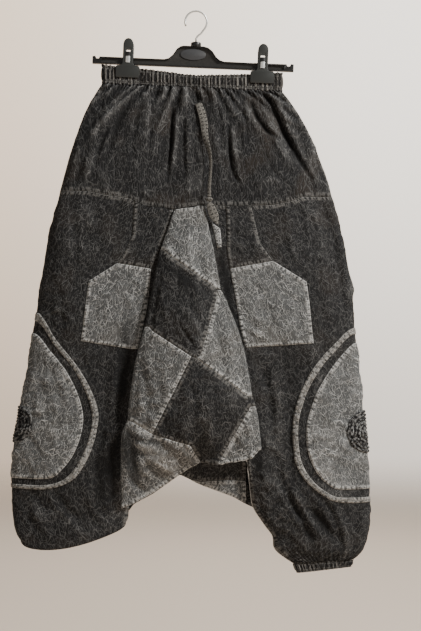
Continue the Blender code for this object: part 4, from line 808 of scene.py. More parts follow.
def legFace(side, rows, face, t, cell):
    # one face of a leg: t down the sections, s in from the side fold, x = outer edge less s,
    # y = depthAt less the broad folds, z straight between the ends, less the hem's sag
    table = np.array(rows, float)
    outerZ, outerX, innerZ, backX, front, back, closed, sag = softRead(table, t).T[:, :, None]
    if face < 0:
        fold = gussetLeft if side < 0 else gussetRight
        behind = (table[:, 2] > min(row[0] for row in fold)) & (table[:, 6] < 0.8)
        tucked = readTable(fold, table[:, 2], 1) - side * leg["tuck"]
        backX = softRead(np.where(behind, tucked, table[:, 3]), t)[:, None]
    width = np.abs(backX - outerX)
    s = foldSteps(width[:, 0], cell)
    across = s / width
    x = outerX - side * s
    z = outerZ + (innerZ - outerZ) * across
    straight = table[0, 0] + (table[0, 2] - table[0, 0]) * across
    z += (readTable(yokeSeam, x, 1) - seamGap / 2 - straight) * np.maximum(0, 1 - t[:, None] / 4) ** 2
    z -= np.maximum(sag, 0) * np.sin(math.pi * across ** 0.8) ** 0.7
    y = depthAt(s, width - s, front if face < 0 else back, np.clip(closed, 0, 1))
    edges = filled(s, 30) * filled(width - s, 30)
    y -= pressed(frontFolds if face < 0 else backFolds, x, z) * edges
    return np.stack((x, face * y, z), -1)


def arcOf(s):
    # length of cloth from the side fold to x distance s: round the quarter ellipse, then straight
    angle = np.linspace(0, math.pi / 2, 40)
    x, y = leg["foldWidth"] * (1 - np.cos(angle)), leg["foldDepth"] * np.sin(angle)
    travel = np.concatenate(([0], np.cumsum(np.hypot(np.diff(x), np.diff(y)))))
    s = np.asarray(s, float)
    size = np.abs(s)
    return np.sign(s) * (np.interp(size, x, travel) + np.maximum(size - leg["foldWidth"], 0))


def faded(flatX, flatZ, near):
    # 0 at a grid's edges, 1 from near inwards, by the grid's own distances
    left, right = flatX - flatX[:, :1], flatX[:, -1:] - flatX
    top, low = flatZ[:1] - flatZ, flatZ - flatZ[-1:]
    return (filled(np.abs(left), near) * filled(np.abs(right), near)
            * filled(np.abs(top), near) * filled(np.abs(low), near))


def legSheet(side, rows, folds, seed):
    # the whole leg on one grid, back seam to side fold to front seam, with its creases
    table = np.array(rows, float)
    middle = (table[:, 0] + table[:, 2]) / 2
    count = int((middle[0] - middle[-1]) / leg["cell"])
    t = np.interp(-np.linspace(middle[0], middle[-1], count), -middle, np.arange(len(rows)))
    front = legFace(side, rows, -1, t, leg["cell"])
    back = legFace(side, rows, 1, t, leg["backCell"])
    points = np.concatenate((back[:, :0:-1], front), 1)
    fold = back.shape[1] - 1
    x, z = points[..., 0], points[..., 2]
    away = (readTable(rows, z, 1) - x) * side
    away = away - away[:, fold:fold + 1]
    isFront = np.arange(points.shape[1]) >= fold
    flat = np.stack((arcOf(np.abs(away)) * np.where(isFront, 1.0, -1.0), z), -1)

    def outwards(points):
        # normals turned so that the front's face -Y
        normals = normalsOf(points)
        return -normals if normals[count // 2, fold + 30, 1] > 0 else normals

    rise = np.where(isFront, creased(x, z, folds["front"]), creased(x, z, folds["back"]))
    rise = (rise + crumple(flat, seed, leg["crumple"])) * faded(flat[..., 0], flat[..., 1], 16)
    points = points + outwards(points) * rise[..., None]
    # the material reads this as painted shade in hollows and painted light on crests; shade adds the front's
    # painted shadow and light
    shade = np.where(isFront, creased(x, z, folds["shade"]), 0)
    sheet = {"points": points, "normals": outwards(points), "flat": flat, "relief": rise / 6 + shade}
    return sheet, fold, t


def columnsOf(sheet, columns):
    return {key: value[:, columns] for key, value in sheet.items()}


def raisedFrom(sheet, target, height):
    # places on the flat cloth, raised from the sheet along its normal; also its normal and its relief with
    # painted shade there
    flat = sheet["flat"]
    rows, columns = flat.shape[:2]
    r = np.interp(-target[:, 1], -flat[:, columns // 2, 1], np.arange(rows))
    c = np.interp(target[:, 0], flat[rows // 2, :, 0], np.arange(columns))
    r, c = locate(flat, target, r, c)
    normals = unit(sampled(sheet["normals"], r, c))
    return sampled(sheet["points"], r, c) + normals * height[:, None], normals, sampled(sheet["relief"], r, c)


# creases of the legs, and under "shade" the front's painted shade and light: height, half width, then x, z
# along each
leftCreases = {
    # painted shade below 0 and painted light above 0, in colour only: the gusset's shadow on the leg, the
    # darker lower leg, the lit inner end; the last row is a thin dark line along the cross seam
    "shade": [
        (-1.0, 15, (-118, -540), (-130, -630), (-140, -720)),
        (-1.1, 20, (-146, -740), (-156, -820), (-168, -880)), (-0.5, 50, (-200, -830), (-240, -900)),
        (0.9, 11, (-152, -905), (-130, -890)), (-0.35, 60, (-150, -640), (-190, -780)),
        (-0.6, 1.4, (-330, -735), (-120, -737)),
    ],
    "front": [
        (-1.5, 8, (-128, -600), (-134, -680), (-140, -760)),
        (-1.5, 8, (-146, -770), (-150, -830), (-142, -890)),
        (-2.2, 6, (-225, -352), (-214, -400), (-216, -452)), (1.6, 7, (-196, -345), (-188, -392)),
        (-1.8, 6, (-262, -470), (-238, -520), (-240, -590)), (1.6, 8, (-150, -352), (-158, -420)),
        (-2.0, 7, (-120, -610), (-128, -660), (-122, -720)),
        (1.8, 8, (-142, -620), (-150, -700), (-146, -770)),
        (-2.4, 8, (-160, -742), (-176, -800), (-172, -862)),
        (1.8, 7, (-196, -846), (-182, -896), (-150, -926)),
        (-2.0, 6, (-250, -862), (-226, -896), (-196, -926)),
        (1.7, 7, (-300, -868), (-278, -906), (-262, -940)),
        (-1.8, 6, (-138, -820), (-150, -870), (-142, -900)), (1.4, 6, (-214, -880), (-240, -936)),
        (-1.6, 5, (-300, -900), (-286, -932)), (1.5, 7, (-232, -600), (-205, -640), (-196, -690)),
        (-1.5, 6, (-260, -640), (-240, -700), (-244, -760)), (1.3, 6, (-290, -650), (-276, -720)),
        (-1.5, 6, (-300, -760), (-270, -800)), (1.3, 6, (-216, -740), (-232, -800)),
    ],
    "back": [
        (-2.0, 7, (-210, -360), (-196, -440), (-204, -520)), (1.8, 8, (-140, -370), (-150, -470)),
        (-2.2, 8, (-110, -480), (-130, -600), (-124, -700)), (1.8, 8, (-250, -520), (-226, -640)),
        (-2.0, 8, (-180, -640), (-196, -760), (-180, -860)),
        (1.6, 7, (-290, -840), (-250, -900), (-210, -930)), (-1.8, 7, (-150, -780), (-160, -880)),
        (1.5, 7, (-230, -760), (-250, -860)),
    ],
}
rightCreases = {
    # painted shade below 0 and painted light above 0, in colour only: the dark strip beside the gusset, the
    # darker lower leg, a lit band; the last row is a thin dark line along the cross seam
    "shade": [
        (-1.0, 8, (42, -410), (54, -490), (70, -560)), (-0.9, 10, (104, -740), (110, -800), (116, -850)),
        (0.4, 11, (134, -660), (144, -760), (156, -850)), (-0.5, 34, (190, -880), (236, -950)),
        (-0.4, 30, (170, -640), (150, -560)), (-0.6, 1.4, (110, -731), (335, -722)),
    ],
    "front": [
        (-2.2, 5, (228, -345), (250, -420), (262, -500), (266, -560)),
        (-2.4, 5, (150, -846), (176, -888), (200, -930), (214, -960)),
        (2.2, 6, (168, -850), (194, -896), (214, -930)), (-1.6, 5, (120, -640), (133, -700), (138, -770)),
        (-2.0, 5, (232, -880), (256, -930), (262, -962)), (2.0, 8, (206, -345), (224, -410), (232, -480)),
        (-1.8, 6, (186, -350), (196, -420)), (1.6, 7, (160, -355), (170, -420), (184, -470)),
        (-1.8, 6, (218, -500), (228, -570), (220, -640)), (1.7, 7, (250, -560), (240, -640)),
        (-2.0, 7, (112, -620), (130, -690), (128, -770)), (2.0, 8, (138, -615), (152, -700), (150, -780)),
        (-2.0, 7, (172, -700), (168, -780), (176, -850)), (-2.2, 7, (140, -790), (158, -850), (190, -900)),
        (1.8, 7, (172, -860), (204, -912), (228, -950)), (-2.4, 7, (206, -890), (238, -930), (262, -960)),
        (2.0, 7, (250, -890), (266, -930), (270, -965)), (-2.2, 6, (290, -896), (284, -940)),
        (1.8, 6, (160, -920), (186, -950), (204, -972)), (-1.8, 6, (190, -926), (206, -956)),
        (1.4, 6, (118, -800), (128, -850)), (-1.5, 6, (100, -830), (112, -880), (132, -925)),
        (1.5, 7, (225, -640), (205, -700)),
    ],
    "back": [
        (-2.2, 8, (210, -370), (232, -460), (236, -560)), (1.8, 8, (120, -380), (140, -500)),
        (-2.0, 8, (100, -500), (120, -620), (116, -720)), (1.8, 8, (200, -560), (216, -700)),
        (-2.2, 8, (150, -640), (160, -760), (176, -870)), (1.8, 7, (230, -780), (244, -880), (252, -950)),
        (-2.0, 7, (180, -880), (216, -940)), (1.6, 7, (280, -880), (270, -950)),
    ],
}
gathersRight = {"from": -928.0, "to": -987.0, "height": 1.7, "uneven": 3.2, "count": 18}


def gatheredAbove(sheet, g):
    # pleats that run down into the cuff: a cosine round the leg, growing towards its lower edge
    p, flat = sheet["points"], sheet["flat"]
    left, right = flat[:, :1, 0], flat[:, -1:, 0]
    share = (flat[..., 0] - left) / (right - left)
    grow = np.clip((g["from"] - p[..., 2]) / (g["from"] - g["to"]), 0, 1) ** 1.6
    sway = 0.8 * (cloudNoise(share * 400, p[..., 2], 26, 5) - 0.5)
    wave = np.cos(2 * math.pi * (share * 2 * g["count"] + sway))
    big = cloudNoise(share * 400, p[..., 2] * 0.35, 19, 9) - 0.5
    rise = grow * (g["height"] * 0.5 * wave + g["uneven"] * big)
    sheet["points"] = p + sheet["normals"] * rise[..., None]
    # the pleats' rise goes to the relief too: painted light on their crests, painted shade between
    sheet["relief"] = sheet["relief"] + rise / 2.5
    return sheet


leftEnd = {"cuffLeft": -300.0, "cuffRight": -198.0, "cuffTop": -921.0, "cuffHalf": 6.5,
           "clear": 2.4, "hang": 7.0, "turnIn": 9.0, "rollSteps": 10, "riseSteps": 9}


def turnedUp(sheet, e):
    # the end rolls in through a half circle, hangs below its last section, and rises to the cuff
    points = sheet["points"]
    last = points[-1]
    left, right = last[:, 0].min(), last[:, 0].max()
    across = (last[:, 0] - left) / (right - left)
    inner = last.copy()
    inner[:, 0] = left + e["turnIn"] + (right - left - 2 * e["turnIn"]) * across
    inner[:, 1] = last[:, 1] * 0.5
    angle = np.linspace(0, math.pi, e["rollSteps"] + 1)[1:, None, None]
    roll = last + (inner - last) * (1 - np.cos(angle)) / 2
    roll[..., 2] -= e["hang"] * np.sin(angle[..., 0])
    low, high = e["cuffLeft"] - e["clear"], e["cuffRight"] + e["clear"]
    around = np.arccos(np.clip(1 - 2 * across, -1, 1)) / math.pi
    x = (low + high) / 2 - (high - low) / 2 * np.cos(math.pi * around)
    y = np.sign(last[:, 1]) * (e["cuffHalf"] + e["clear"]) * np.sin(math.pi * around) ** 0.5
    end = np.stack((x, y, np.full_like(x, e["cuffTop"] + 1.0)), 1)
    rise = np.linspace(0, 1, e["riseSteps"] + 1)[1:, None, None] ** 0.8
    rise = roll[-1] + (end - roll[-1]) * rise
    points = np.concatenate((points, roll, rise), 0)
    step = np.linalg.norm(np.diff(points[-len(roll) - len(rise) - 1:], axis=0), axis=-1)
    flat = sheet["flat"]
    below = flat[-1, :, 1][None] - np.cumsum(step, axis=0)
    more = np.stack((np.broadcast_to(flat[-1, :, 0], below.shape), below), -1)
    normals = normalsOf(points)
    if np.sum(normals[:len(flat)] * sheet["normals"]) < 0:
        normals = -normals
    still = np.zeros(more.shape[:2])
    return {"points": points, "normals": normals, "flat": np.concatenate((flat, more), 0),
            "relief": np.concatenate((sheet["relief"], still), 0)}


def edgeLines(sheet, top=True, left=True, right=True, bottom=True):
    # a grid's own edges, as seams for the material
    flat = sheet["flat"]
    sides = ((top, flat[0]), (bottom, flat[-1]), (left, flat[:, 0]), (right, flat[:, -1]))
    return [line[::6] if len(line) > 40 else line for wanted, line in sides if wanted]


crossSeams = {"left": [(-380, -735), (0, -737), (250, -734)],
              "right": [(-380, -722), (0, -732), (60, -730), (250, -720)]}
legs = {}
for side, rows, label, folds, seed in (
        (-1, leftLeg, "left", leftCreases, 3), (1, rightLeg, "right", rightCreases, 7)):
    whole, fold, t = legSheet(side, rows, folds, seed)
    legs[label] = {"whole": whole, "fold": fold, "rows": rows, "side": side, "t": t}
    if side > 0:
        whole = gatheredAbove(whole, gathersRight)
    whole["normals"][:, [0, -1]] = whole["normals"][:, [1, -2]]
    shown = turnedUp(whole, leftEnd) if side < 0 else whole
    front, back = columnsOf(shown, slice(fold, None)), columnsOf(shown, slice(None, fold + 1))
    for face, half, name in ((-1, front, "legFront"), (1, back, "legBack")):
        seams = edgeLines(half, bottom=False, left=face > 0, right=face < 0)
        seams += [crossSeams[label]] if face > 0 else []
        panels = [part + name[3:].lower() + "_" + label for part in ("leg_", "leg_lower_")]
        clothPiece(name + label.title(), half, panels, darkCotton, leg["wall"], seams)
print("legs ready")


# yoke levels, waist down to seam: left x, left z, right x, right z
yokeRows = [
    (-169, -129, 155, -143.5), (-182, -149, 169, -161), (-200, -182, 187, -189),
    (-215, -222, 204, -220), (-227, -258, 219, -256), (-236, -290, 231, -290),
    (-245, -324, 245, -334),
]
waistTop = [
    (-169, -95), (-146, -97.5), (-122, -99.5), (-77, -105), (-24, -113), (2, -115.5),
    (55, -114), (97, -112), (119, -111), (137, -109.5), (155, -110),
]
# half the gap between front and back waistband: x, at the top edge, at the bottom edge
spread = [
    (-167.3, 0.0, 0.0), (-166.6, 1.0, 1.0), (-164, 2.0, 2.2), (-158, 2.4, 3.0),
    (-151, 1.5, 2.2), (-146, 0.3, 1.1), (-100, 0.3, 1.1), (-86, 2.2, 3.4), (-60, 5.6, 6.8),
    (-20, 7.8, 8.6), (20, 7.8, 8.6), (55, 5.2, 6.4), (80, 2.2, 3.2), (94, 0.3, 1.1),
    (140, 0.3, 1.1), (144, 1.3, 2.0), (149, 1.9, 2.2), (152.6, 1.0, 1.0), (153.3, 0.0, 0.0),
]
# drawstring: x, y, z, turn in degrees and width, down to its knot; then its leaf-shaped end, with widths
tie = {
    "route": [
        (4.5, -14.2, -166, 0, 13.5), (11, -17.0, -186, 0, 15), (14.5, -20.5, -204, 8, 15),
        (16, -24, -221, 14, 13), (20, -28, -240, 36, 11), (24.5, -31, -256, 46, 8.5),
        (26.5, -33, -276, 40, 7), (25.5, -34.5, -298, 30, 6.5), (24, -35.5, -318, 20, 6.5),
        (24, -36.5, -335.1, 10, 7)],
    "tail": [(24, -36.5, -345.6, 7.0), (26, -37, -352, 13.0), (30, -37.5, -363, 16.5),
             (34.5, -37, -374, 14.0), (38.5, -36.5, -384, 3.0)],
    "knot": (24, -36.5, -340), "knotSize": (13, 8, 9), "thick": 1.8, "sides": 20, "bow": 0.9, "tailBow": 1.3,
}
yokeCreases = {
    "front": [
        (-5.0, 5, (-1, -126), (3, -150), (7, -180)),
        (-4.2, 3.0, (-42, -166), (-43, -220), (-47, -262), (-52, -304)),
        (2.4, 5, (-35, -176), (-36, -240), (-42, -290)), (-2.0, 3, (-76, -178), (-81, -215), (-82, -262)),
        (-4.0, 3.0, (57, -208), (60, -240), (65, -288), (78, -308)),
        (2.2, 5, (68, -200), (72, -262), (82, -296)),
        (-4.8, 3.2, (98, -162), (110, -190), (126, -212), (147, -230)),
        (2.6, 5, (92, -172), (104, -204), (126, -234)),
        (-6.0, 4.0, (120, -142), (144, -182), (157, -214), (178, -254), (206, -300)),
        (3.2, 6, (110, -158), (134, -200), (150, -238), (170, -280)),
        (2.6, 6, (136, -150), (164, -196), (190, -246)), (3.6, 9, (-130, -150), (-160, -192), (-196, -236)),
        (-2.6, 5, (-118, -160), (-140, -205), (-158, -262)),
        (-2.0, 4, (-98, -158), (-110, -215), (-114, -280)), (1.8, 6, (-84, -160), (-94, -240)),
        (-2.4, 4, (216, -250), (230, -312)), (2.0, 6, (24, -160), (34, -220), (32, -290)),
        (-1.8, 3, (34, -158), (44, -196), (48, -222)), (-2.0, 3, (80, -160), (90, -205), (94, -250)),
        (-2.0, 5, (-200, -250), (-216, -310)), (1.8, 6, (-180, -230), (-196, -300)),
        (-1.6, 3, (-20, -170), (-22, -236), (-20, -300)), (1.6, 5, (-12, -180), (-12, -270), (-10, -330)),
        (-2.0, 3, (-146, -190), (-170, -240), (-186, -300)),
        (-1.6, 3, (120, -250), (140, -290), (168, -320)), (-1.5, 3, (14, -196), (17, -250), (15, -330)),
        (-1.8, 3, (35, -236), (38, -290), (36, -334)),
    ],
    "back": [
        (-3.0, 6, (-60, -165), (-70, -230), (-78, -300)), (2.4, 8, (-40, -170), (-46, -270)),
        (-3.2, 6, (40, -165), (50, -230), (58, -310)), (2.4, 8, (64, -170), (78, -270)),
        (-4.0, 7, (128, -162), (158, -222), (182, -286)), (2.6, 8, (106, -180), (132, -250)),
        (-3.4, 7, (-132, -155), (-158, -210), (-188, -280)), (2.6, 8, (-104, -170), (-124, -250)),
        (-1.8, 5, (0, -160), (4, -240)), (-1.8, 5, (-90, -160), (-98, -240)),
    ],
}
yoke = {"levels": 78, "cell": 1.65, "wall": 1.1, "gathers": 49, "crumple": 1.3, "drop": 200,
        "fine": 3.2, "broad": 6.0, "broadGathers": 17}


def outwardOf(run):
    # square to a plan line, and straight sideways at its two ends
    way = unit(np.gradient(run, axis=0))
    out = unit(np.stack((way[:, 1], -way[:, 0]), 1))
    out[0], out[-1] = (-1, 0), (1, 0)
    return out


def waistRing(atBottom, count):
    # plan of the waistband's front half: x, y and the outward direction
    table = np.array(spread)
    x = np.linspace(table[0, 0], table[-1, 0], count)
    y = -np.interp(x, table[:, 0], table[:, 2 if atBottom else 1]) - seamGap / 2
    run = np.stack((x, y), 1)
    return run, outwardOf(run)


def gatherWave(share, count, seed):
    # uneven gathers: a cosine whose steps are shifted and whose heights change from one to the next
    shift = 0.55 * (cloudNoise(share * count, 0 * share, 1.0, seed) - 0.5)
    height = 0.65 + 0.7 * cloudNoise(share * count, 0 * share + 7, 1.0, seed + 1)
    wave = 0.5 + 0.5 * np.cos(2 * math.pi * (share * count + shift))
    return wave ** 0.8 * height


def rowLengths(points):
    # cloth travelled along each row, from its middle
    steps = np.linalg.norm(np.diff(points, axis=1), axis=-1)
    run = np.concatenate((np.zeros((len(points), 1)), np.cumsum(steps, axis=1)), 1)
    return run - run[:, run.shape[1] // 2][:, None]


def yokeHalf(face, seed):
    # levels blend from the waistband's plan to the legs' section; gathers fade out downwards
    folds = frontFolds if face < 0 else backFolds
    depth = leftLeg[0][4] if face < 0 else leftLeg[0][5]
    table = np.array(yokeRows, float)
    down = np.linspace(0, 1, yoke["levels"])[:, None]
    leftX, leftZ, rightX, rightZ = softRead(table, down[:, 0] * (len(table) - 1)).T[:, :, None]
    bottomX = foldSteps([table[-1, 2] - table[-1, 0]], yoke["cell"])[0] + table[-1, 0]
    share = (bottomX - bottomX[0]) / (bottomX[-1] - bottomX[0])
    x = leftX + (rightX - leftX) * share
    z = leftZ + (rightZ - leftZ) * share
    straight = table[-1, 1] + (table[-1, 3] - table[-1, 1]) * share
    z = z + (readTable(yokeSeam, bottomX, 1) + seamGap / 2 - straight) * down ** 2.5
    scale = (rightX - leftX) / (table[-1, 2] - table[-1, 0])
    left, right = (x - leftX) / scale, (rightX - x) / scale
    run, out = waistRing(True, 300)
    waist = run + out * 1.5
    weight = (1 - down) ** 1.6
    y = np.interp(x, waist[:, 0], -waist[:, 1]) * weight + depthAt(left, right, depth, 1.0) * (1 - weight)
    sides = filled(left, 40) * filled(right, 40)
    y = y - pressed(folds, x, z) * sides * np.minimum(1, down * 3)
    if face < 0:
        # the seam stands forward over the front gusset's top
        y = y + 3.5 * down ** 4 * np.exp(-((x + 11) / 30) ** 2)
    points = np.stack((x, face * np.maximum(y, seamGap / 2), z), -1)
    flat = np.stack((rowLengths(points), z), -1)
    normals = normalsOf(points, (0, face, 0))
    fall = down * yoke["drop"]
    reach = 12 + 34 * cloudNoise(share * 24, 0 * share, 1.0, seed + 2) ** 1.5
    fine = (gatherWave(share, yoke["gathers"], seed) - 0.5) * np.exp(-(fall / reach) ** 1.3)
    reach = 45 + 60 * cloudNoise(share * 11, 0 * share, 1.0, seed + 3)
    lean = (share - 0.5) * fall * 0.004
    broad = (gatherWave(share - lean, yoke["broadGathers"], seed + 5) - 0.5) * np.exp(-(fall / reach) ** 2)
    broad = broad * np.minimum(1, fall / 12)
    ends = filled(left, 18) * filled(right, 18)
    rise = (yoke["fine"] * fine + yoke["broad"] * broad) * ends
    rise = rise + creased(x, z, yokeCreases["front" if face < 0 else "back"]) * faded(flat[..., 0], z, 12)
    rise = rise + crumple(flat, seed, yoke["crumple"]) * faded(flat[..., 0], z, 8)
    if face < 0:
        # the cloth lies flat and sunk under the drawstring, which the relief also paints as shade there
        near, _, _ = lineField(x, z, [(spot[0], spot[2]) for spot in tie["route"]])
        rise = rise - (np.maximum(rise, -1.0) + 1.2) * np.exp(-(near / 11) ** 4)
    points = points + normals * rise[..., None]
    # the relief is painted as shade in hollows and light on crests; the fine gathers add painted light on
    # their ridges and painted shade between
    return {"points": points, "normals": normalsOf(points, (0, face, 0)), "flat": flat,
            "relief": rise / 4 + 0.45 * fine * ends}


for face, seed in ((-1, 21), (1, 31)):
    half = yokeHalf(face, seed)
    clothPiece("yokeFront" if face < 0 else "yokeBack", half, ["yoke_front" if face < 0 else "yoke_back"],
               yokeCotton, yoke["wall"], edgeLines(half, top=False))
print("yoke ready")


# elasticated bands

band = {"wall": 1.2, "rows": 26, "perGather": 9, "inner": 0.3, "upperStitch": 0.15, "lowerStitch": 0.84}


def bandHalf(name, face, runTop, runBottom, out, topZ, bottomZ, gathers, limit, seed, nodes, height):
    # gathers raised on a plain inside; two stitched rows press them down, the top edge stands up
    share = np.linspace(0, 1, len(runTop))
    down = np.linspace(0, 1, band["rows"])[:, None]
    wave = gatherWave(share, gathers, seed)
    upper, lower = band["upperStitch"], band["lowerStitch"]
    rows = np.exp(-((down - upper) / 0.045) ** 2) + np.exp(-((down - lower) / 0.05) ** 2)
    channel = np.sin(math.pi * np.clip((down - upper) / (lower - upper), 0, 1)) ** 0.5
    lift = (0.55 + 0.25 * channel + 0.5 * (down < 0.12)) * (1 - 0.62 * np.minimum(1, rows))
    wobble = 0.35 * (cloudNoise(share * gathers, down * 5, 1.0, seed + 4) - 0.5)
    rise = band["inner"] + np.minimum(limit, height * lift * (wave + wobble) + 0.8 * channel)
    plan = runTop[None] + (runBottom - runTop)[None] * down[..., None]
    plan = plan + out[None] * (band["wall"] + rise)[..., None]
    crown = 1.3 * (gatherWave(share, gathers, seed + 8) - 0.5) * (1 - down) ** 6
    z = topZ + (bottomZ - topZ) * down + crown
    y = plan[..., 1] if face < 0 else -plan[..., 1]
    points = np.stack((plan[..., 0], y, z), -1)
    middle = band["rows"] // 2
    across = np.broadcast_to(rowLengths(points)[middle], z.shape)
    tall = abs(np.mean(np.asarray(topZ) - np.asarray(bottomZ)))
    flat = np.stack((across, np.broadcast_to(-down * tall, z.shape)), -1)
    normals = normalsOf(points, (0, face, 0))
    # painted light on the gathers' ridges, stronger or weaker at random from one to the next, and painted
    # shade in their valleys, as the relief
    ridgeHighlight = 0.15 + 0.85 * cloudNoise(share * gathers, 0 * share, 1.0, seed + 6)
    ridgeHighlight = ridgeHighlight * (0.5 + 1.3 * cloudNoise(share * gathers, 0 * share, 5.0, seed + 9))
    ridges = np.clip(1.9 * wave - 1.0, -1, 1) * (1 - 0.5 * np.minimum(1, rows))
    ridges = np.where(ridges > 0, ridges * ridgeHighlight, ridges)
    sheet = {"points": points, "normals": normals, "flat": flat, "relief": ridges}
    ends = flat[0, [0, -1], 0]
    seams = [[(end, -tall * height) for end in ends] for height in (upper, lower)]
    clothPiece(name, sheet, nodes, bandCotton, band["wall"], seams)


# the waistband's gathers: how far they may rise, how much less under the clips, and the clips' places
waist = {"rise": 4.5, "pressed": 3.5, "clips": (-122, 119), "clipHalf": 30, "ease": 8, "gather": 2.3}
# crests painted much lighter: the gathers' painted highlights
bandLook = dict(darkLook, crestWearAndLight=0.80, vein=(0.19, 0.180, 0.166))
bandCotton = crinkledCotton("dark cotton of the elastic bands", bandLook, 0.0022, 1.0)

for face, label in ((-1, "front"), (1, "back")):
    count = yoke["gathers"] * band["perGather"]
    top, out = waistRing(False, count)
    bottom, _ = waistRing(True, count)
    underClip = np.max([rounded(waist["clipHalf"] - np.abs(top[:, 0] - x), waist["ease"])
                        for x in waist["clips"]], 0)
    leftX, leftZ, rightX, rightZ = yokeRows[0]
    bandHalf("waistband" + label.title(), face, top, bottom, out, readTable(waistTop, top[:, 0], 1),
             np.interp(top[:, 0], (leftX, rightX), (leftZ, rightZ)), yoke["gathers"],
             waist["rise"] - waist["pressed"] * underClip, 41 if face < 0 else 51,
             ["waistband_" + label], waist["gather"])

rightCuff = {"top": (174.5, 281.5, 6.5), "bottom": (182.0, 278.5, 6.5),
             "topZ": (-989.6, -985.8), "bottomZ": (-1009.0, -998.0), "gathers": 18, "limit": 3.0}
leftCuff = {"top": (-300.0, -198.0, 6.5), "bottom": (-300.0, -198.0, 6.5),
            "topZ": (-921.0, -921.0), "bottomZ": (-945.0, -945.0), "gathers": 16, "limit": 1.0}


def cuffRing(ring, count, inset):
    # flattened ring, front half: x by a cosine, y by the square root of a sine
    left, right, half = ring
    across = np.linspace(0, 1, count)
    x = (left + right) / 2 - ((right - left) / 2 - inset) * np.cos(math.pi * across)
    y = -np.maximum((half - inset) * np.sin(math.pi * across) ** 0.5, seamGap / 2)
    run = np.stack((x, y), 1)
    return run, outwardOf(run)


for cuff, side in ((leftCuff, "left"), (rightCuff, "right")):
    for face, label in ((-1, "front"), (1, "back")):
        count = cuff["gathers"] * band["perGather"]
        top, out = cuffRing(cuff["top"], count, 1.5)
        bottom, _ = cuffRing(cuff["bottom"], count, 1.5)
        across = (top[:, 0] - top[0, 0]) / (top[-1, 0] - top[0, 0])
        bandHalf("cuff" + side.title() + label.title(), face, top, bottom, out,
                 np.interp(across, (0, 1), cuff["topZ"]), np.interp(across, (0, 1), cuff["bottomZ"]),
                 cuff["gathers"], cuff["limit"], 61 + face, ["cuff_" + side + "_" + label], 1.9)
print("waistband and cuffs ready")


# pieces cut to an outline and laid on a sheet

def insideOf(points, outline):
    # even-odd rule: how many sides each point's level line crosses to its right
    x, z = points[:, :1], points[:, 1:]
    a, b = outline, np.roll(outline, -1, 0)
    crosses = (a[:, 1] > z) != (b[:, 1] > z)
    slope = (b[:, 0] - a[:, 0]) / np.where(b[:, 1] == a[:, 1], 1e-9, b[:, 1] - a[:, 1])
    at = a[:, 0] + (z - a[:, 1]) * slope
    return (np.sum(crosses & (x < at), axis=1) % 2) == 1


def borderField(points, outline):
    # distance to the closed outline and length along it, for every point
    ring = np.vstack((outline, outline[:1]))
    gap, run, length = lineField(points[:, 0], points[:, 1], ring)
    return gap, run, length


def cutShape(outline, pitch):
    # fine triangles inside an outline: a staggered lattice of points, joined by Delaunay's rule
    ring = np.vstack([along(np.stack((p, q)), pitch)[:-1]
                      for p, q in zip(outline, np.roll(outline, -1, 0))])
    low, high = ring.min(0), ring.max(0)
    u = np.arange(low[0], high[0], pitch)
    v = np.arange(low[1], high[1], pitch * 0.866)
    grid = np.stack(np.meshgrid(u, v), -1)
    grid[1::2, :, 0] += pitch / 2
    spots = grid.reshape(-1, 2)
    spots = spots[insideOf(spots, ring)]
    gap, _, _ = borderField(spots, ring)
    spots = spots[gap > pitch * 0.55]
    places = [Vector(spot) for spot in np.vstack((ring, spots)).tolist()]
    found = delaunay_2d_cdt(places, [], [list(range(len(ring)))], 1, 1e-5)
    return np.array([tuple(v) for v in found[0]]), np.array([tuple(f) for f in found[2]]), ring


def sewnOn(name, sheet, outline, nodes, mat, shape):
    # lifts each point along the sheet's normal: the edge lies low, the middle puffs, seams pucker
    outline = np.asarray(outline, float)
    spots, triangles, ring = cutShape(outline, shape["pitch"])
    gap, run, length = borderField(spots, ring)
    pucker = np.sin(run / 1.15 + 2.2 * cloudNoise(spots[:, 0], spots[:, 1], 6, 5)) * np.exp(-(gap / 5) ** 2)
    rise = shape["edge"] + (shape["top"] - shape["edge"]) * rounded(gap, shape["round"])
    rise = rise + shape["pucker"] * pucker + shape["puff"] * filled(gap, 45)
    rise = rise + crumple(spots, int(length) % 50, shape["crumple"]) * filled(gap, 14)
    points, normals, relief = raisedFrom(sheet, spots, rise)
    edges = np.vstack((triangles[:, [0, 1]], triangles[:, [1, 2]], triangles[:, [2, 0]]))
    keys = edges[:, 0].astype(np.int64) * len(spots) + edges[:, 1]
    back = edges[:, 1].astype(np.int64) * len(spots) + edges[:, 0]
    rim = edges[~np.isin(keys, back)]
    a, b, d = points[triangles[0]]
    if np.cross(b - a, d - a) @ normals[triangles[0, 0]] < 0:
        triangles, rim = triangles[:, ::-1], rim[:, ::-1]
    count = len(spots)
    walls = np.vstack((np.stack((rim[:, 1], rim[:, 0], rim[:, 0] + count), 1),
                       np.stack((rim[:, 1], rim[:, 0] + count, rim[:, 1] + count), 1)))
    faces = np.vstack((triangles, triangles[:, ::-1] + count, walls))
    both = np.vstack((points, points - normals * shape["wall"]))
    fields = {"seamGap": np.tile(gap, 2) * mm, "seamRun": np.tile(run, 2) * mm,
              "relief": np.tile(relief, 2)}
    mesh = meshFrom(name, both, faces, np.tile(spots, (2, 1)), fields)
    piece = place(name, mesh, mat, nodes)
    corners = points[triangles]
    area = 0.5 * np.linalg.norm(np.cross(corners[:, 1] - corners[:, 0], corners[:, 2] - corners[:, 0]),
                                axis=1).sum() * mm * mm
    declareSheet(spots, area, length * mm)


overlay = {"pitch": 2.8, "edge": 0.7, "top": 1.5, "round": 2.0, "pucker": 0.28, "puff": 0.8,
           "crumple": 0.9, "wall": 0.9}

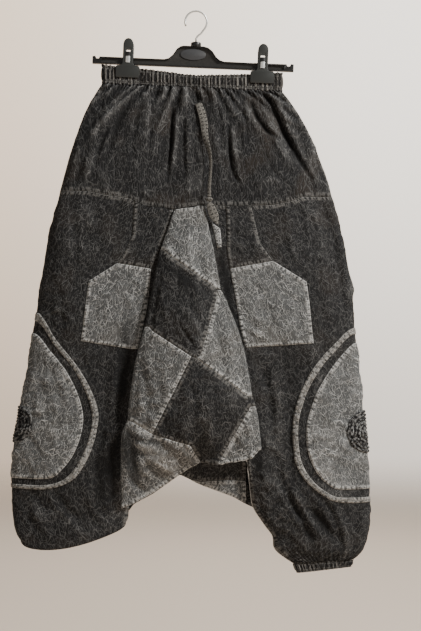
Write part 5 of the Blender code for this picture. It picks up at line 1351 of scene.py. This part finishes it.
pockets = {
    "pocketUpperLeft": ("left", "dark", "pocket_upper_left", [
        (-108, -330), (-113, -404), (-126, -432), (-140, -453), (-79, -463), (-66, -432),
        (-52, -398), (-41, -365), (-40, -345)]),
    "pocketLowerLeft": ("left", "pale", "pocket_lower_left", [
        (-140, -453), (-191, -485), (-205, -592), (-115, -606), (-103, -606), (-94, -570),
        (-86, -530), (-79, -463)]),
    "pocketUpperRight": ("right", "dark", "pocket_upper_right", [
        (52, -340), (96, -340), (104, -375), (114, -417), (137, -449), (60, -463), (55, -430)]),
    "pocketLowerRight": ("right", "pale", "pocket_lower_right", [
        (137, -449), (197, -486), (210, -596), (88, -604), (78, -566), (60, -463)]),
    "pocketTab": ("right", "pale", "pocket_tab", [(27, -380), (43, -391), (46, -424), (38, -427)]),
}


def onLeg(label, outline):
    # x and z of a front outline as places on the leg's flat cloth
    points = np.array(outline, float)
    at = legs[label]
    away = (readTable(at["rows"], points[:, 1], 1) - points[:, 0]) * at["side"]
    return np.stack((arcOf(away), points[:, 1]), 1)


for name, (label, shade, nodeName, outline) in pockets.items():
    mat = darkCotton if shade == "dark" else paleCotton
    sewnOn(name, legs[label]["whole"], onLeg(label, outline), [nodeName], mat, overlay)
print("pockets ready")

# half moons round the side folds: distance from the fold and z of the outer edge, then of the field
moons = {
    "left": [
        (0, -540, 0, -577), (47, -591, 40, -611), (88, -632, 72, -643), (119, -673, 97, -680),
        (141, -714, 115, -717), (146, -745, 120, -748), (143, -779, 116, -779),
        (133, -810, 107, -802), (118, -834, 92, -822), (94, -849, 78, -834), (60, -856, 55, -838),
        (0, -855, 0, -837)],
    "right": [
        (0, -568, 0, -595), (41, -597, 34, -622), (79, -635, 60, -652), (102, -669, 81, -683),
        (119, -704, 95, -713), (129, -738, 105, -742), (132, -779, 108, -780),
        (130, -813, 103, -808), (112, -844, 91, -832), (86, -866, 73, -849), (59, -879, 56, -856),
        (0, -881, 0, -857)],
}
spiral = {"turns": 6.5, "height": 3.0, "radius": {"left": 33.0, "right": 38.0},
          "left": (3.0, -743.0), "right": (3.0, -756.0)}
bandShare = 0.42


def moonEdge(moon, share):
    # closed curve round the fold between the outer edge (0) and the field (1)
    table = np.array(moon, float)
    half = table[:, :2] + (table[:, 2:] - table[:, :2]) * share
    half[0, 0] = half[-1, 0] = 0
    ring = np.vstack((half, half[-2:0:-1] * (-1, 1)))
    joined = np.vstack((ring[-3:], ring, ring[:4]))
    smooth = softRead(joined, np.linspace(3, 3 + len(ring), len(ring) * 6 + 1)[:-1])
    return np.stack((arcOf(smooth[:, 0]), smooth[:, 1]), 1)


bandShape = dict(overlay, pitch=2.0, top=1.7, puff=0.0, crumple=0.15, pucker=0.3, edge=0.8)
for label in ("left", "right"):
    whole = legs[label]["whole"]
    outer, inner, field = [moonEdge(moons[label], share) for share in (0, bandShare, 1)]
    slit = np.array((0.12, 0))
    ring = np.vstack((outer[0] + slit, outer[1:], outer[0] - slit,
                      inner[0] - slit, inner[:0:-1], inner[0] + slit))
    sewnOn("moonBand" + label.title(), whole, ring, ["moon_band_" + label], tapedCotton,
           bandShape)
    sewnOn("moonField" + label.title(), whole, field, ["moon_field_" + label], paleCotton,
           overlay)
    t = np.linspace(0.05, 1, 620)
    angle = 2 * math.pi * spiral["turns"] * t
    reach = spiral["radius"][label]
    path = np.array(spiral[label]) + np.stack((np.cos(angle), np.sin(angle)), 1) * (reach * t)[:, None]
    cord = raisedFrom(whole, path, np.full(len(path), spiral["height"]))[0]
    size = 0.5 * reach / spiral["turns"] * np.minimum(1, 0.25 + np.minimum(t - 0.05, 1 - t) * 40)
    name = "moonSpiral" + label.title()
    place(name, tubeMesh(name, cord, size), cordCotton, ["moon_spiral_" + label])
print("half moons ready")


# front gusset: heights at its left and right folds, how far its middle bulges
gussetRows = [
    (-357, -350, 0), (-395, -388, 4), (-435, -428, 8), (-478, -468, 11), (-523, -508, 14),
    (-570, -548, 17), (-618, -588, 20), (-666, -628, 22), (-712, -666, 24), (-757, -700, 25),
    (-797, -728, 23), (-832, -748, 18), (-863, -763, 11), (-891.5, -776, 0),
]
# lower edge of the front gusset, and of the back one: x, z, y
gussetHem = [
    (-133.5, -891.5, -24), (-111, -883, -22), (-77, -865, -18), (-28.6, -831, -14),
    (9, -808, -30), (37.5, -812, -44), (98, -801.5, -44), (112, -787, -40), (116.5, -776, -38),
]
crotch = [
    (-121, -898, 3), (-112, -886, 2), (-77, -867, 1), (-29, -833, 2), (7, -850, 4),
    (27, -857, 5), (59, -869, 5), (86, -884, 5), (103, -892, 4),
]
# painted shade of the front gusset below 0 and painted light above 0, in colour only: the shadow under the
# top patch's edge, the dark lower left, the right fold's shading, a lit rim on the left fold: height, half
# width, then x, z along each
gussetShade = [
    (-1.1, 8, (-62, -452), (-22, -482), (12, -512)), (-1.2, 12, (-126, -750), (-120, -790), (-110, -834)),
    (-0.9, 6, (-116, -758), (-62, -772)), (-0.5, 16, (20, -680), (44, -730)),
    (-0.4, 26, (36, -470), (60, -560), (80, -640)), (0.5, 3, (-64, -446), (-78, -510), (-92, -580)),
    (-0.5, 20, (-60, -700), (-30, -790)),
]
gussetCreases = [
    (-3.0, 8, (-28, -466), (2, -488), (26, -508)), (2.2, 4, (-66, -440), (-80, -520), (-92, -590)),
    (-2.6, 4, (-59, -446), (-72, -520), (-84, -590)), (-3.6, 10, (-120, -752), (-112, -790), (-104, -840)),
    (-2.4, 4, (-124, -750), (-100, -766), (-70, -768)), (2.6, 6, (-100, -800), (-70, -806), (-44, -824)),
    (-2.4, 3, (-30, -560), (-10, -590), (0, -606)), (2.2, 5, (-20, -530), (-2, -560), (10, -590)),
    (-2.2, 6, (-40, -420), (-30, -470), (-34, -520)), (2.0, 7, (-14, -400), (-4, -470), (4, -530)),
    (-2.0, 6, (10, -440), (14, -500)), (1.8, 6, (-60, -500), (-50, -560)),
    (-2.2, 7, (30, -540), (44, -600), (46, -660)), (2.0, 8, (60, -580), (70, -650), (66, -710)),
    (-2.0, 6, (-100, -620), (-84, -690), (-90, -740)), (2.0, 8, (-60, -620), (-48, -680), (-60, -730)),
    (-2.0, 6, (-20, -650), (0, -700), (-6, -760)), (1.8, 7, (20, -680), (26, -740), (20, -790)),
    (-3.0, 7, (-118, -770), (-90, -800), (-60, -838)), (2.6, 8, (-96, -760), (-64, -790), (-36, -820)),
    (-2.6, 6, (-122, -830), (-104, -850), (-86, -868)), (2.2, 7, (-44, -764), (-24, -786), (-6, -806)),
    (-2.0, 6, (60, -740), (72, -776), (70, -800)), (1.8, 6, (96, -720), (96, -770)),
]
gusset = {"tuck": 14.0, "tuckGap": 0.6, "rows": 190, "columns": 92, "rollSteps": 9, "wall": 1.1,
          "topGap": 0.8, "crumple": 1.5}


def foremost(label, z):
    # y of a leg's front near its tucked seam, by height
    at = legs[label]
    points = at["whole"]["points"][:, at["fold"]:]
    order = np.argsort(points[:, -1, 2])
    return np.interp(z, points[order, -1, 2], points[order, -9:, 1].min(1) - seamGap)


def gussetSheet(g):
    # the front between its folds; past a fold the cloth rolls round by its radius and runs back
    t = np.linspace(0, len(gussetRows) - 1, g["rows"])
    leftZ, rightZ, bulge = softRead(gussetRows, t).T[:, :, None]
    down = t[:, None]
    leftR, rightR = readTable(gussetLeft, leftZ, 2), readTable(gussetRight, rightZ, 2)
    leftX = readTable(gussetLeft, leftZ, 1) + leftR
    rightX = readTable(gussetRight, rightZ, 1) - rightR
    leftY = foremost("left", leftZ) - g["tuckGap"] - 2 * leftR
    rightY = foremost("right", rightZ) - g["tuckGap"] - 2 * rightR
    share = np.linspace(0, 1, g["columns"])
    x = leftX + (rightX - leftX) * share
    z = leftZ + (rightZ - leftZ) * share
    y = leftY + (rightY - leftY) * share - np.maximum(bulge, 0) * np.sin(math.pi * share) ** 0.8
    z += (readTable(yokeSeam, x, 1) - g["topGap"] - z) * np.maximum(0, 1 - down) ** 2
    lower = np.clip((down - 8) / 5, 0, 1)
    eighth = np.argmax(t >= 8)
    even = z[eighth] + (readTable(gussetHem, x, 1) - z[eighth]) * lower
    z += (even - z) * lower ** 0.5
    y += (readTable(gussetHem, x, 2) - y) * lower ** 3
    points, flat = [np.stack((x, y, z), -1)], [np.stack((x, z), -1)]
    angle = np.linspace(math.pi, 0, g["rollSteps"] + 1)[:-1]
    for side, edge, foldX, r in ((-1, 0, leftX, leftR), (1, -1, rightX, rightR)):
        foldY, foldZ = y[:, edge][:, None], z[:, edge][:, None]
        tuck = g["tuck"] - r
        rollX = foldX + side * r * np.sin(angle)
        rollY = foldY + r * (1 - np.cos(angle))
        sideX = np.concatenate((foldX - side * tuck, foldX - side * tuck / 2, rollX), 1)
        sideY = np.concatenate((foldY + 2 * r, foldY + 2 * r, rollY), 1)
        travel = np.concatenate((math.pi * r + tuck, math.pi * r + tuck / 2, r * angle), 1)
        sideZ = np.broadcast_to(foldZ, sideX.shape)
        block, place2 = np.stack((sideX, sideY, sideZ), -1), np.stack((foldX + side * travel, sideZ), -1)
        if side < 0:
            points.insert(0, block)
            flat.insert(0, place2)
        else:
            points.append(block[:, ::-1])
            flat.append(place2[:, ::-1])
    points, flat = np.concatenate(points, 1), np.concatenate(flat, 1)
    normals = normalsOf(points, (0, -1, 0))
    rise = creased(flat[..., 0], flat[..., 1], gussetCreases) + crumple(flat, 77, g["crumple"])
    first = g["rollSteps"] + 2
    inside = np.ones(flat.shape[:2])
    inside[:, :first] = 0
    inside[:, -first:] = 0
    left, right = flat[..., 0] - flat[:, first:first + 1, 0], flat[:, -first - 1:-first, 0] - flat[..., 0]
    inside = inside * filled(left, 16) * filled(right, 16)
    inside = inside * filled(np.abs(flat[..., 1] - flat[:1, :, 1]), 14)
    rise = rise * inside
    points = points + normals * rise[..., None]
    # the relief is painted as shade in hollows and light on crests, and gussetShade adds its painted shade
    # and light
    relief = rise / 6 + creased(flat[..., 0], flat[..., 1], gussetShade)
    return {"points": points, "normals": normalsOf(points, (0, -1, 0)), "flat": flat, "relief": relief}


front = gussetSheet(gusset)
rim = {"left": front["flat"][:, 0], "right": front["flat"][:, -1]}


def rimPath(side, start, end):
    # the sheet's own edge between two heights
    line = rim[side]
    z = np.linspace(start, end, max(2, int(abs(start - end) / 6)))
    return np.stack((np.interp(-z, -line[:, 1], line[:, 0]), z), 1)


def onFold(side, z):
    # the foremost place of a side fold at height z, one roll radius in from the fold's own line
    fold, out = (gussetLeft, -1) if side == "left" else (gussetRight, 1)
    return [(float(readTable(fold, z, 1)) - out * float(readTable(fold, z, 2)), z)]


def hemPath(start, end):
    # the sheet's lower edge between two places across, worn uneven by noise
    line = front["flat"][-1]
    x = np.linspace(start, end, max(2, int(abs(start - end) / 2.6)))
    linesWornAndLit = 1.7 * cloudNoise(x, 0 * x, 3.1, 8) ** 2
    return np.stack((x, np.interp(x, line[:, 0], line[:, 1]) + linesWornAndLit), 1)


lowLeft, lowRight = rim["left"][-1], rim["right"][-1]
patches = {
    "patchTop": ("pale", "patch_top", [
        front["flat"][0, ::4], rimPath("right", rim["right"][0, 1], -499), onFold("right", -499),
        onFold("left", -430), rimPath("left", -430, rim["left"][0, 1])]),
    "patchUpperDark": ("dark", "patch_upper_dark", [
        onFold("left", -430), rimPath("left", -430, -566), onFold("left", -566), [(-77, -573)],
        [(-7, -618)], [(1, -621)], [(8, -617)], [(36, -520)], onFold("right", -501),
        rimPath("right", -501, -499), onFold("right", -499)]),
    "patchLeft": ("pale", "patch_left", [
        onFold("left", -566), rimPath("left", -566, -733), onFold("left", -733), [(-76, -755)],
        [(-7, -618)], [(-77, -573)]]),
    "patchRight": ("pale", "patch_right", [
        onFold("right", -501), rimPath("right", -501, -689), onFold("right", -689), [(1, -621)],
        [(8, -617)], [(36, -520)]]),
    "patchLowerDark": ("dark", "patch_lower_dark", [
        [(-7, -618)], [(1, -621)], onFold("right", -689), rimPath("right", -689, -707),
        onFold("right", -707), hemPath(37, 9), [(-10, -775)], [(-76, -755)]]),
    "patchCorner": ("pale", "patch_corner", [
        onFold("right", -707), rimPath("right", -707, lowRight[1]), hemPath(lowRight[0], 37)]),
    "patchBottom": ("pale", "patch_bottom", [
        onFold("left", -733), rimPath("left", -733, lowLeft[1]), hemPath(lowLeft[0], 9),
        [(-10, -775)], [(-76, -755)]]),
}
patchShape = {"pitch": 2.6, "edge": -0.7, "top": 0.0, "round": 4.5, "pucker": 0.3, "puff": 1.2,
              "crumple": 0.3, "wall": 1.1}
for name, (shade, nodeName, parts) in patches.items():
    ring = np.vstack([np.array(part, float) for part in parts])
    keep = np.linalg.norm(ring - np.roll(ring, 1, 0), axis=1) > 0.4
    mat = darkCotton if shade == "dark" else paleCotton
    sewnOn(name, front, ring[keep], [nodeName], mat, patchShape)
print("front gusset ready")

# behind it: the back gusset, and the hollow under the front one's lower edge
backGusset = {"rows": 130, "gap": 0.6, "steps": 60, "last": 13, "crumple": 0.8}
backGussetCreases = [
    (-2.4, 8, (-20, -380), (-10, -470), (-16, -560)), (2.2, 9, (10, -400), (20, -520)),
    (-2.2, 8, (30, -560), (36, -660), (30, -760)), (2.0, 9, (-50, -580), (-44, -700)),
    (-2.2, 8, (-70, -700), (-60, -800)), (2.0, 8, (0, -660), (4, -780)),
    (-2.0, 7, (60, -760), (66, -850)), (1.8, 7, (30, -780), (40, -845)),
]


def innerEdge(label, t):
    # x, y and z of a back leg's inner edge at its sections t
    at = legs[label]
    edge = at["whole"]["points"][:, 0]
    return np.stack([np.interp(t, at["t"], edge[:, k]) for k in range(3)], -1)


def backGussetSheet(g):
    # straight between the back legs' edges, its lower rows moved on to the crotch's outline
    t = np.linspace(0, g["last"], g["rows"])
    share = np.linspace(0, 1, g["steps"])[None, :, None]
    start = innerEdge("left", t)[:, None] + np.array((g["gap"], 0, 0))
    end = innerEdge("right", t)[:, None] - np.array((g["gap"], 0, 0))
    points = start + (end - start) * share
    x, z = points[..., 0], points[..., 2].copy()
    weight = (np.clip((t - 3) / 9, 0, 1) ** 1.5)[:, None]
    z += (readTable(crotch, x[-1], 1) - z[-1]) * weight
    share = share[..., 0]
    lower = (np.clip((t - g["last"] + 4) / 4, 0, 1) ** 2)[:, None]
    inside = filled(share, 0.1) * filled(1 - share, 0.1)
    y = points[..., 1] + (readTable(crotch, x, 2) - points[..., 1]) * lower * inside
    y -= pressed(backFolds, x, z) * filled(share, 0.3) * filled(1 - share, 0.3)
    z += (readTable(yokeSeam, x, 1) - seamGap / 2 - z) * np.maximum(0, 1 - t[:, None]) ** 2
    points = np.stack((x, y, z), -1)
    flat = np.stack((x, z), -1)
    normals = normalsOf(points, (0, 1, 0))
    rise = creased(x, z, backGussetCreases) + crumple(flat, 91, g["crumple"])
    points = points + normals * (rise * faded(x, z, 16))[..., None]
    return {"points": points, "normals": normalsOf(points, (0, 1, 0)), "flat": flat}


behind = backGussetSheet(backGusset)
clothPiece("gussetBack", behind, ["gusset_back"], darkCotton, gusset["wall"],
           edgeLines(behind))

# x, z of the hollow's lower seam, z of the crotch's outline
hollowRows = [
    (-117, -888, -888), (-105, -881, -881), (-77, -866, -866), (-29, -832, -832), (-10, -840, -842),
    (8, -845, -851), (26, -843, -857.5), (48, -842, -865.5), (70, -842, -874), (90, -843, -884),
]
hollow = {"hemStep": 2.7, "seamY": -4.5, "edgeY": -1.8, "gap": 0.6, "cell": 3.0}


def hollowSheets(h):
    # dark cloth from the lower edge back to the hollow's seam, and the pale patch under that seam
    hem = front["points"][-1, gusset["rollSteps"] + 2:-gusset["rollSteps"] - 2]
    x = np.arange(hollowRows[0][0], hollowRows[-1][0] + 0.1, h["cell"])
    seamZ, edgeZ = readTable(hollowRows, x, 1), readTable(hollowRows, x, 2)
    hemY = np.interp(x, hem[:, 0], hem[:, 1]) + h["hemStep"]
    hemZ = np.interp(x, hem[:, 0], hem[:, 2]) + 1.5
    span = h["seamY"] - hemY
    rise = np.minimum(5.0, 0.2 * span)
    under = np.stack((
        np.stack((x, hemY, hemZ), -1), np.stack((x, hemY + 0.35 * span, hemZ + rise), -1),
        np.stack((x, hemY + 0.70 * span, hemZ * 0.65 + seamZ * 0.35 + rise * 0.6), -1),
        np.stack((x, hemY + 0.92 * span, hemZ * 0.3 + seamZ * 0.7), -1),
        np.stack((x, np.full_like(x, h["seamY"]), seamZ + seamGap / 2), -1)))
    low = x > -11
    middleY = (h["seamY"] + h["edgeY"]) / 2 - 1
    x, seamZ, edgeZ = x[low], seamZ[low] - h["gap"], edgeZ[low]
    below = np.stack((
        np.stack((x, np.full_like(x, h["seamY"]), seamZ), -1),
        np.stack((x, np.full_like(x, middleY), (seamZ + edgeZ) / 2), -1),
        np.stack((x, np.full_like(x, h["edgeY"]), edgeZ), -1)))
    sheets = []
    for points, steps in ((under, 22), (below, 14)):
        fine = softRead(points, np.linspace(0, len(points) - 1, steps))
        travel = np.cumsum(np.linalg.norm(np.diff(fine, axis=0), axis=-1), axis=0)
        travel = np.concatenate((np.zeros((1, fine.shape[1])), travel))
        flat = np.stack((fine[..., 0], -travel), -1)
        normals = normalsOf(fine, (0, -1, -0.2))
        fine = fine + normals * (crumple(flat, 15, 0.9) * faded(flat[..., 0], flat[..., 1], 8))[..., None]
        sheets.append({"points": fine, "normals": normalsOf(fine, (0, -1, -0.2)), "flat": flat})
    return sheets


under, below = hollowSheets(hollow)
clothPiece("gussetUnder", under, ["gusset_under"], darkCotton, 1.0, edgeLines(under))
clothPiece("gussetUnderPatch", below, ["gusset_under_patch"], paleCotton, 1.0,
           edgeLines(below))
print("back gusset and hollow ready")


def stripAlong(name, path, width, turn, thick, sides, fold):
    # a flat strip: rounded sections carried along the path, turned about it, bowed by fold
    way = unit(np.gradient(path, axis=0))
    front = unit(np.cross(way, (1, 0, 0)))
    side = np.cross(front, way)
    turn = turn[:, None]
    wide = side * np.cos(turn) + front * np.sin(turn)
    flat = np.cross(wide, way)
    angle = np.linspace(0, 2 * math.pi, sides, endpoint=False)
    a = np.sign(np.cos(angle)) * np.abs(np.cos(angle)) ** 0.75
    b = np.sign(np.sin(angle)) * np.abs(np.sin(angle)) ** 0.6
    bow = fold * (a[None] ** 2 - 0.4)
    across = a[None] * (width / 2)[:, None]
    out = b[None] * thick / 2 + bow * (width / width.max())[:, None]
    points = path[:, None] + wide[:, None] * across[..., None] + flat[:, None] * out[..., None]
    run = np.concatenate(([0], np.cumsum(np.linalg.norm(np.diff(path, axis=0), axis=1))))
    uv = np.stack((across + 40 * (b[None] > 0), np.broadcast_to(-run[:, None], across.shape)), -1)
    gap = (1 - np.abs(a))[None] * (width / 2)[:, None]
    fields = {"seamGap": gap * mm, "seamRun": np.broadcast_to(run[:, None], gap.shape) * mm}
    mesh = meshFrom(name, points, gridFaces(len(path), sides, closed=True), uv, fields)
    closeEnds(mesh)
    return mesh


route = np.array(tie["route"], float)
fine = np.linspace(0, len(route) - 1, 90)
path = softRead(route, fine)
wrinkle = 0.5 * (cloudNoise(fine * 14, 0 * fine, 6, 3) - 0.5)
mesh = stripAlong("tieStrap", path[:, :3], path[:, 4] * (0.94 + 0.2 * wrinkle),
                  np.radians(path[:, 3]) + 0.25 * wrinkle, tie["thick"], tie["sides"], tie["bow"])
strap = place("tieStrap", mesh, tapeCotton, ["tie"])

tail = np.array(tie["tail"], float)
fine = np.linspace(0, len(tail) - 1, 34)
path = softRead(tail, fine)
mesh = stripAlong("tieTail", path[:, :3], np.maximum(path[:, 3], 1.5), np.radians(-8 + 10 * np.sin(fine)),
                  tie["thick"], tie["sides"], tie["tailBow"])
place("tieTail", mesh, tapeCotton, ["tie_tail"])


def knotMesh(centre, size):
    # an egg with three slanting wraps: its radius swells between the grooves of a sine
    up = np.linspace(0.04, math.pi - 0.04, 40)[:, None]
    angle = np.linspace(0, 2 * math.pi, 64, endpoint=False)[None]
    wraps = np.abs(np.sin(1.5 * up * 2 + angle + 0.6)) ** 0.5
    radius = 0.40 + 0.10 * wraps * np.sin(up) ** 0.5
    points = np.stack((radius * size[0] * np.sin(up) * np.cos(angle),
                       radius * size[1] * np.sin(up) * np.sin(angle),
                       radius * size[2] * np.cos(up) * np.ones_like(angle)), -1) + np.array(centre)
    uv = np.stack(np.broadcast_arrays(angle * size[0] / 2, -up * size[2] / 2), -1)
    fields = {"seamGap": np.full_like(wraps, 0.05), "seamRun": wraps}
    mesh = meshFrom("tieKnot", points, gridFaces(40, 64, closed=True), uv, fields)
    closeEnds(mesh)
    return mesh


place("tieKnot", knotMesh(tie["knot"], tie["knotSize"]), tapeCotton, ["tie_knot"])
print("drawstring ready")


# hanger: the solids with their edges rounded
# each: colour of the rims, lighter colour of the face near the middle plane as painted light on the recessed
# web, roughness
plasticLook = {
    "bar": ((0.0045, 0.0043, 0.0040), (0.021, 0.020, 0.018), 0.42),
    "clip": ((0.020, 0.022, 0.021), (0.030, 0.033, 0.031), 0.45),
    "badge": ((0.030, 0.031, 0.033), (0.046, 0.048, 0.052), 0.5),
}
steelLook = {"low": (0.50, 0.51, 0.50), "high": (0.72, 0.73, 0.71), "slotShade": (0.004, 0.004, 0.004)}


def mouldedPlastic(name, look):
    # dark rims, and a lighter face, patchy by noise, where it lies near its middle plane y = 0: painted light
    # on the recessed web
    rimColour, litFaceColour, roughness = look
    mat, tree, shader = newMaterial(name)
    place3d = node(tree, "ShaderNodeTexCoord").outputs["Object"]
    grain = noise(tree, place3d, 260.0, 3.0, flat=False)
    way = node(tree, "ShaderNodeSeparateXYZ", {}, i0=place3d)
    deep = ranged(tree, sums(tree, "ABSOLUTE", way.outputs[1]), 0.0015, 0.0040, 1.0, 0.0)
    share = times(tree, deep, ranged(tree, grain, 0.25, 0.75, 0.55, 1.0))
    finished(tree, shader, blended(tree, share, rimColour, litFaceColour), grain, 0.25, 0.0003, roughness)
    return mat


def brightSteel(name, top=1.0):
    # metal with fine wavering brightness from noise; above the height top it is painted the dark shade of an
    # open slot
    mat, tree, shader = newMaterial(name)
    place3d = node(tree, "ShaderNodeTexCoord").outputs["Object"]
    grain = noise(tree, place3d, 400.0, 2.0, flat=False)
    height = node(tree, "ShaderNodeSeparateXYZ", {}, i0=place3d).outputs[2]
    below = ranged(tree, height, top - 0.0004, top + 0.0004, 1.0, 0.0)
    colour = blended(tree, grain, steelLook["low"], steelLook["high"])
    tree.links.new(blended(tree, below, steelLook["slotShade"], colour), shader.inputs["Base Color"])
    tree.links.new(times(tree, below, 0.75), shader.inputs["Metallic"])
    shader.inputs["Roughness"].default_value = 0.42
    return mat


barPlastic = mouldedPlastic("black bar plastic", plasticLook["bar"])
clipPlastic = mouldedPlastic("grey clip plastic", plasticLook["clip"])
badgePlastic = mouldedPlastic("badge plastic", plasticLook["badge"])
wireSteel = brightSteel("bright steel")
# width of each solid's rounded edges, and its material; the spring shows up to slotDepth below its top, and
# above that is painted the shade of the open slot
rounding = {"hanger_bar": (0.5, barPlastic), "hook_boss": (0.5, barPlastic),
            "hanger_badge": (0.3, badgePlastic), "hook": (0, wireSteel)}
slotDepth = 0.0085
for label in ("left", "right"):
    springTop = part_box("clip_spring_" + label)[1][2] - slotDepth
    rounding["clip_spring_" + label] = (0.15, brightSteel("spring steel " + label, springTop))
    rounding["clip_front_" + label] = rounding["clip_back_" + label] = (0.6, clipPlastic)


def roundedCopy(name, width, mat):
    # a merged copy of a solid; its sharp edges are bevelled by width
    bm = bmesh.new()
    bm.from_mesh(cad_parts[name].data)
    bmesh.ops.remove_doubles(bm, verts=bm.verts, dist=1e-6)
    mesh = bpy.data.meshes.new(name + "_rounded")
    bm.to_mesh(mesh)
    bm.free()
    mesh.shade_smooth()
    mesh.materials.clear()
    piece = place(name + "_rounded", mesh, mat, [name])
    if width:
        bevel = piece.modifiers.new("bevel", "BEVEL")
        bevel.width = width * mm
        bevel.segments = 3
        bevel.limit_method = "ANGLE"
        bevel.angle_limit = math.radians(35)
        bevel.harden_normals = True
        bevel.use_clamp_overlap = True


for name, (width, mat) in rounding.items():
    roundedCopy(name, width, mat)
print("hanger ready")


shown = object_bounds()
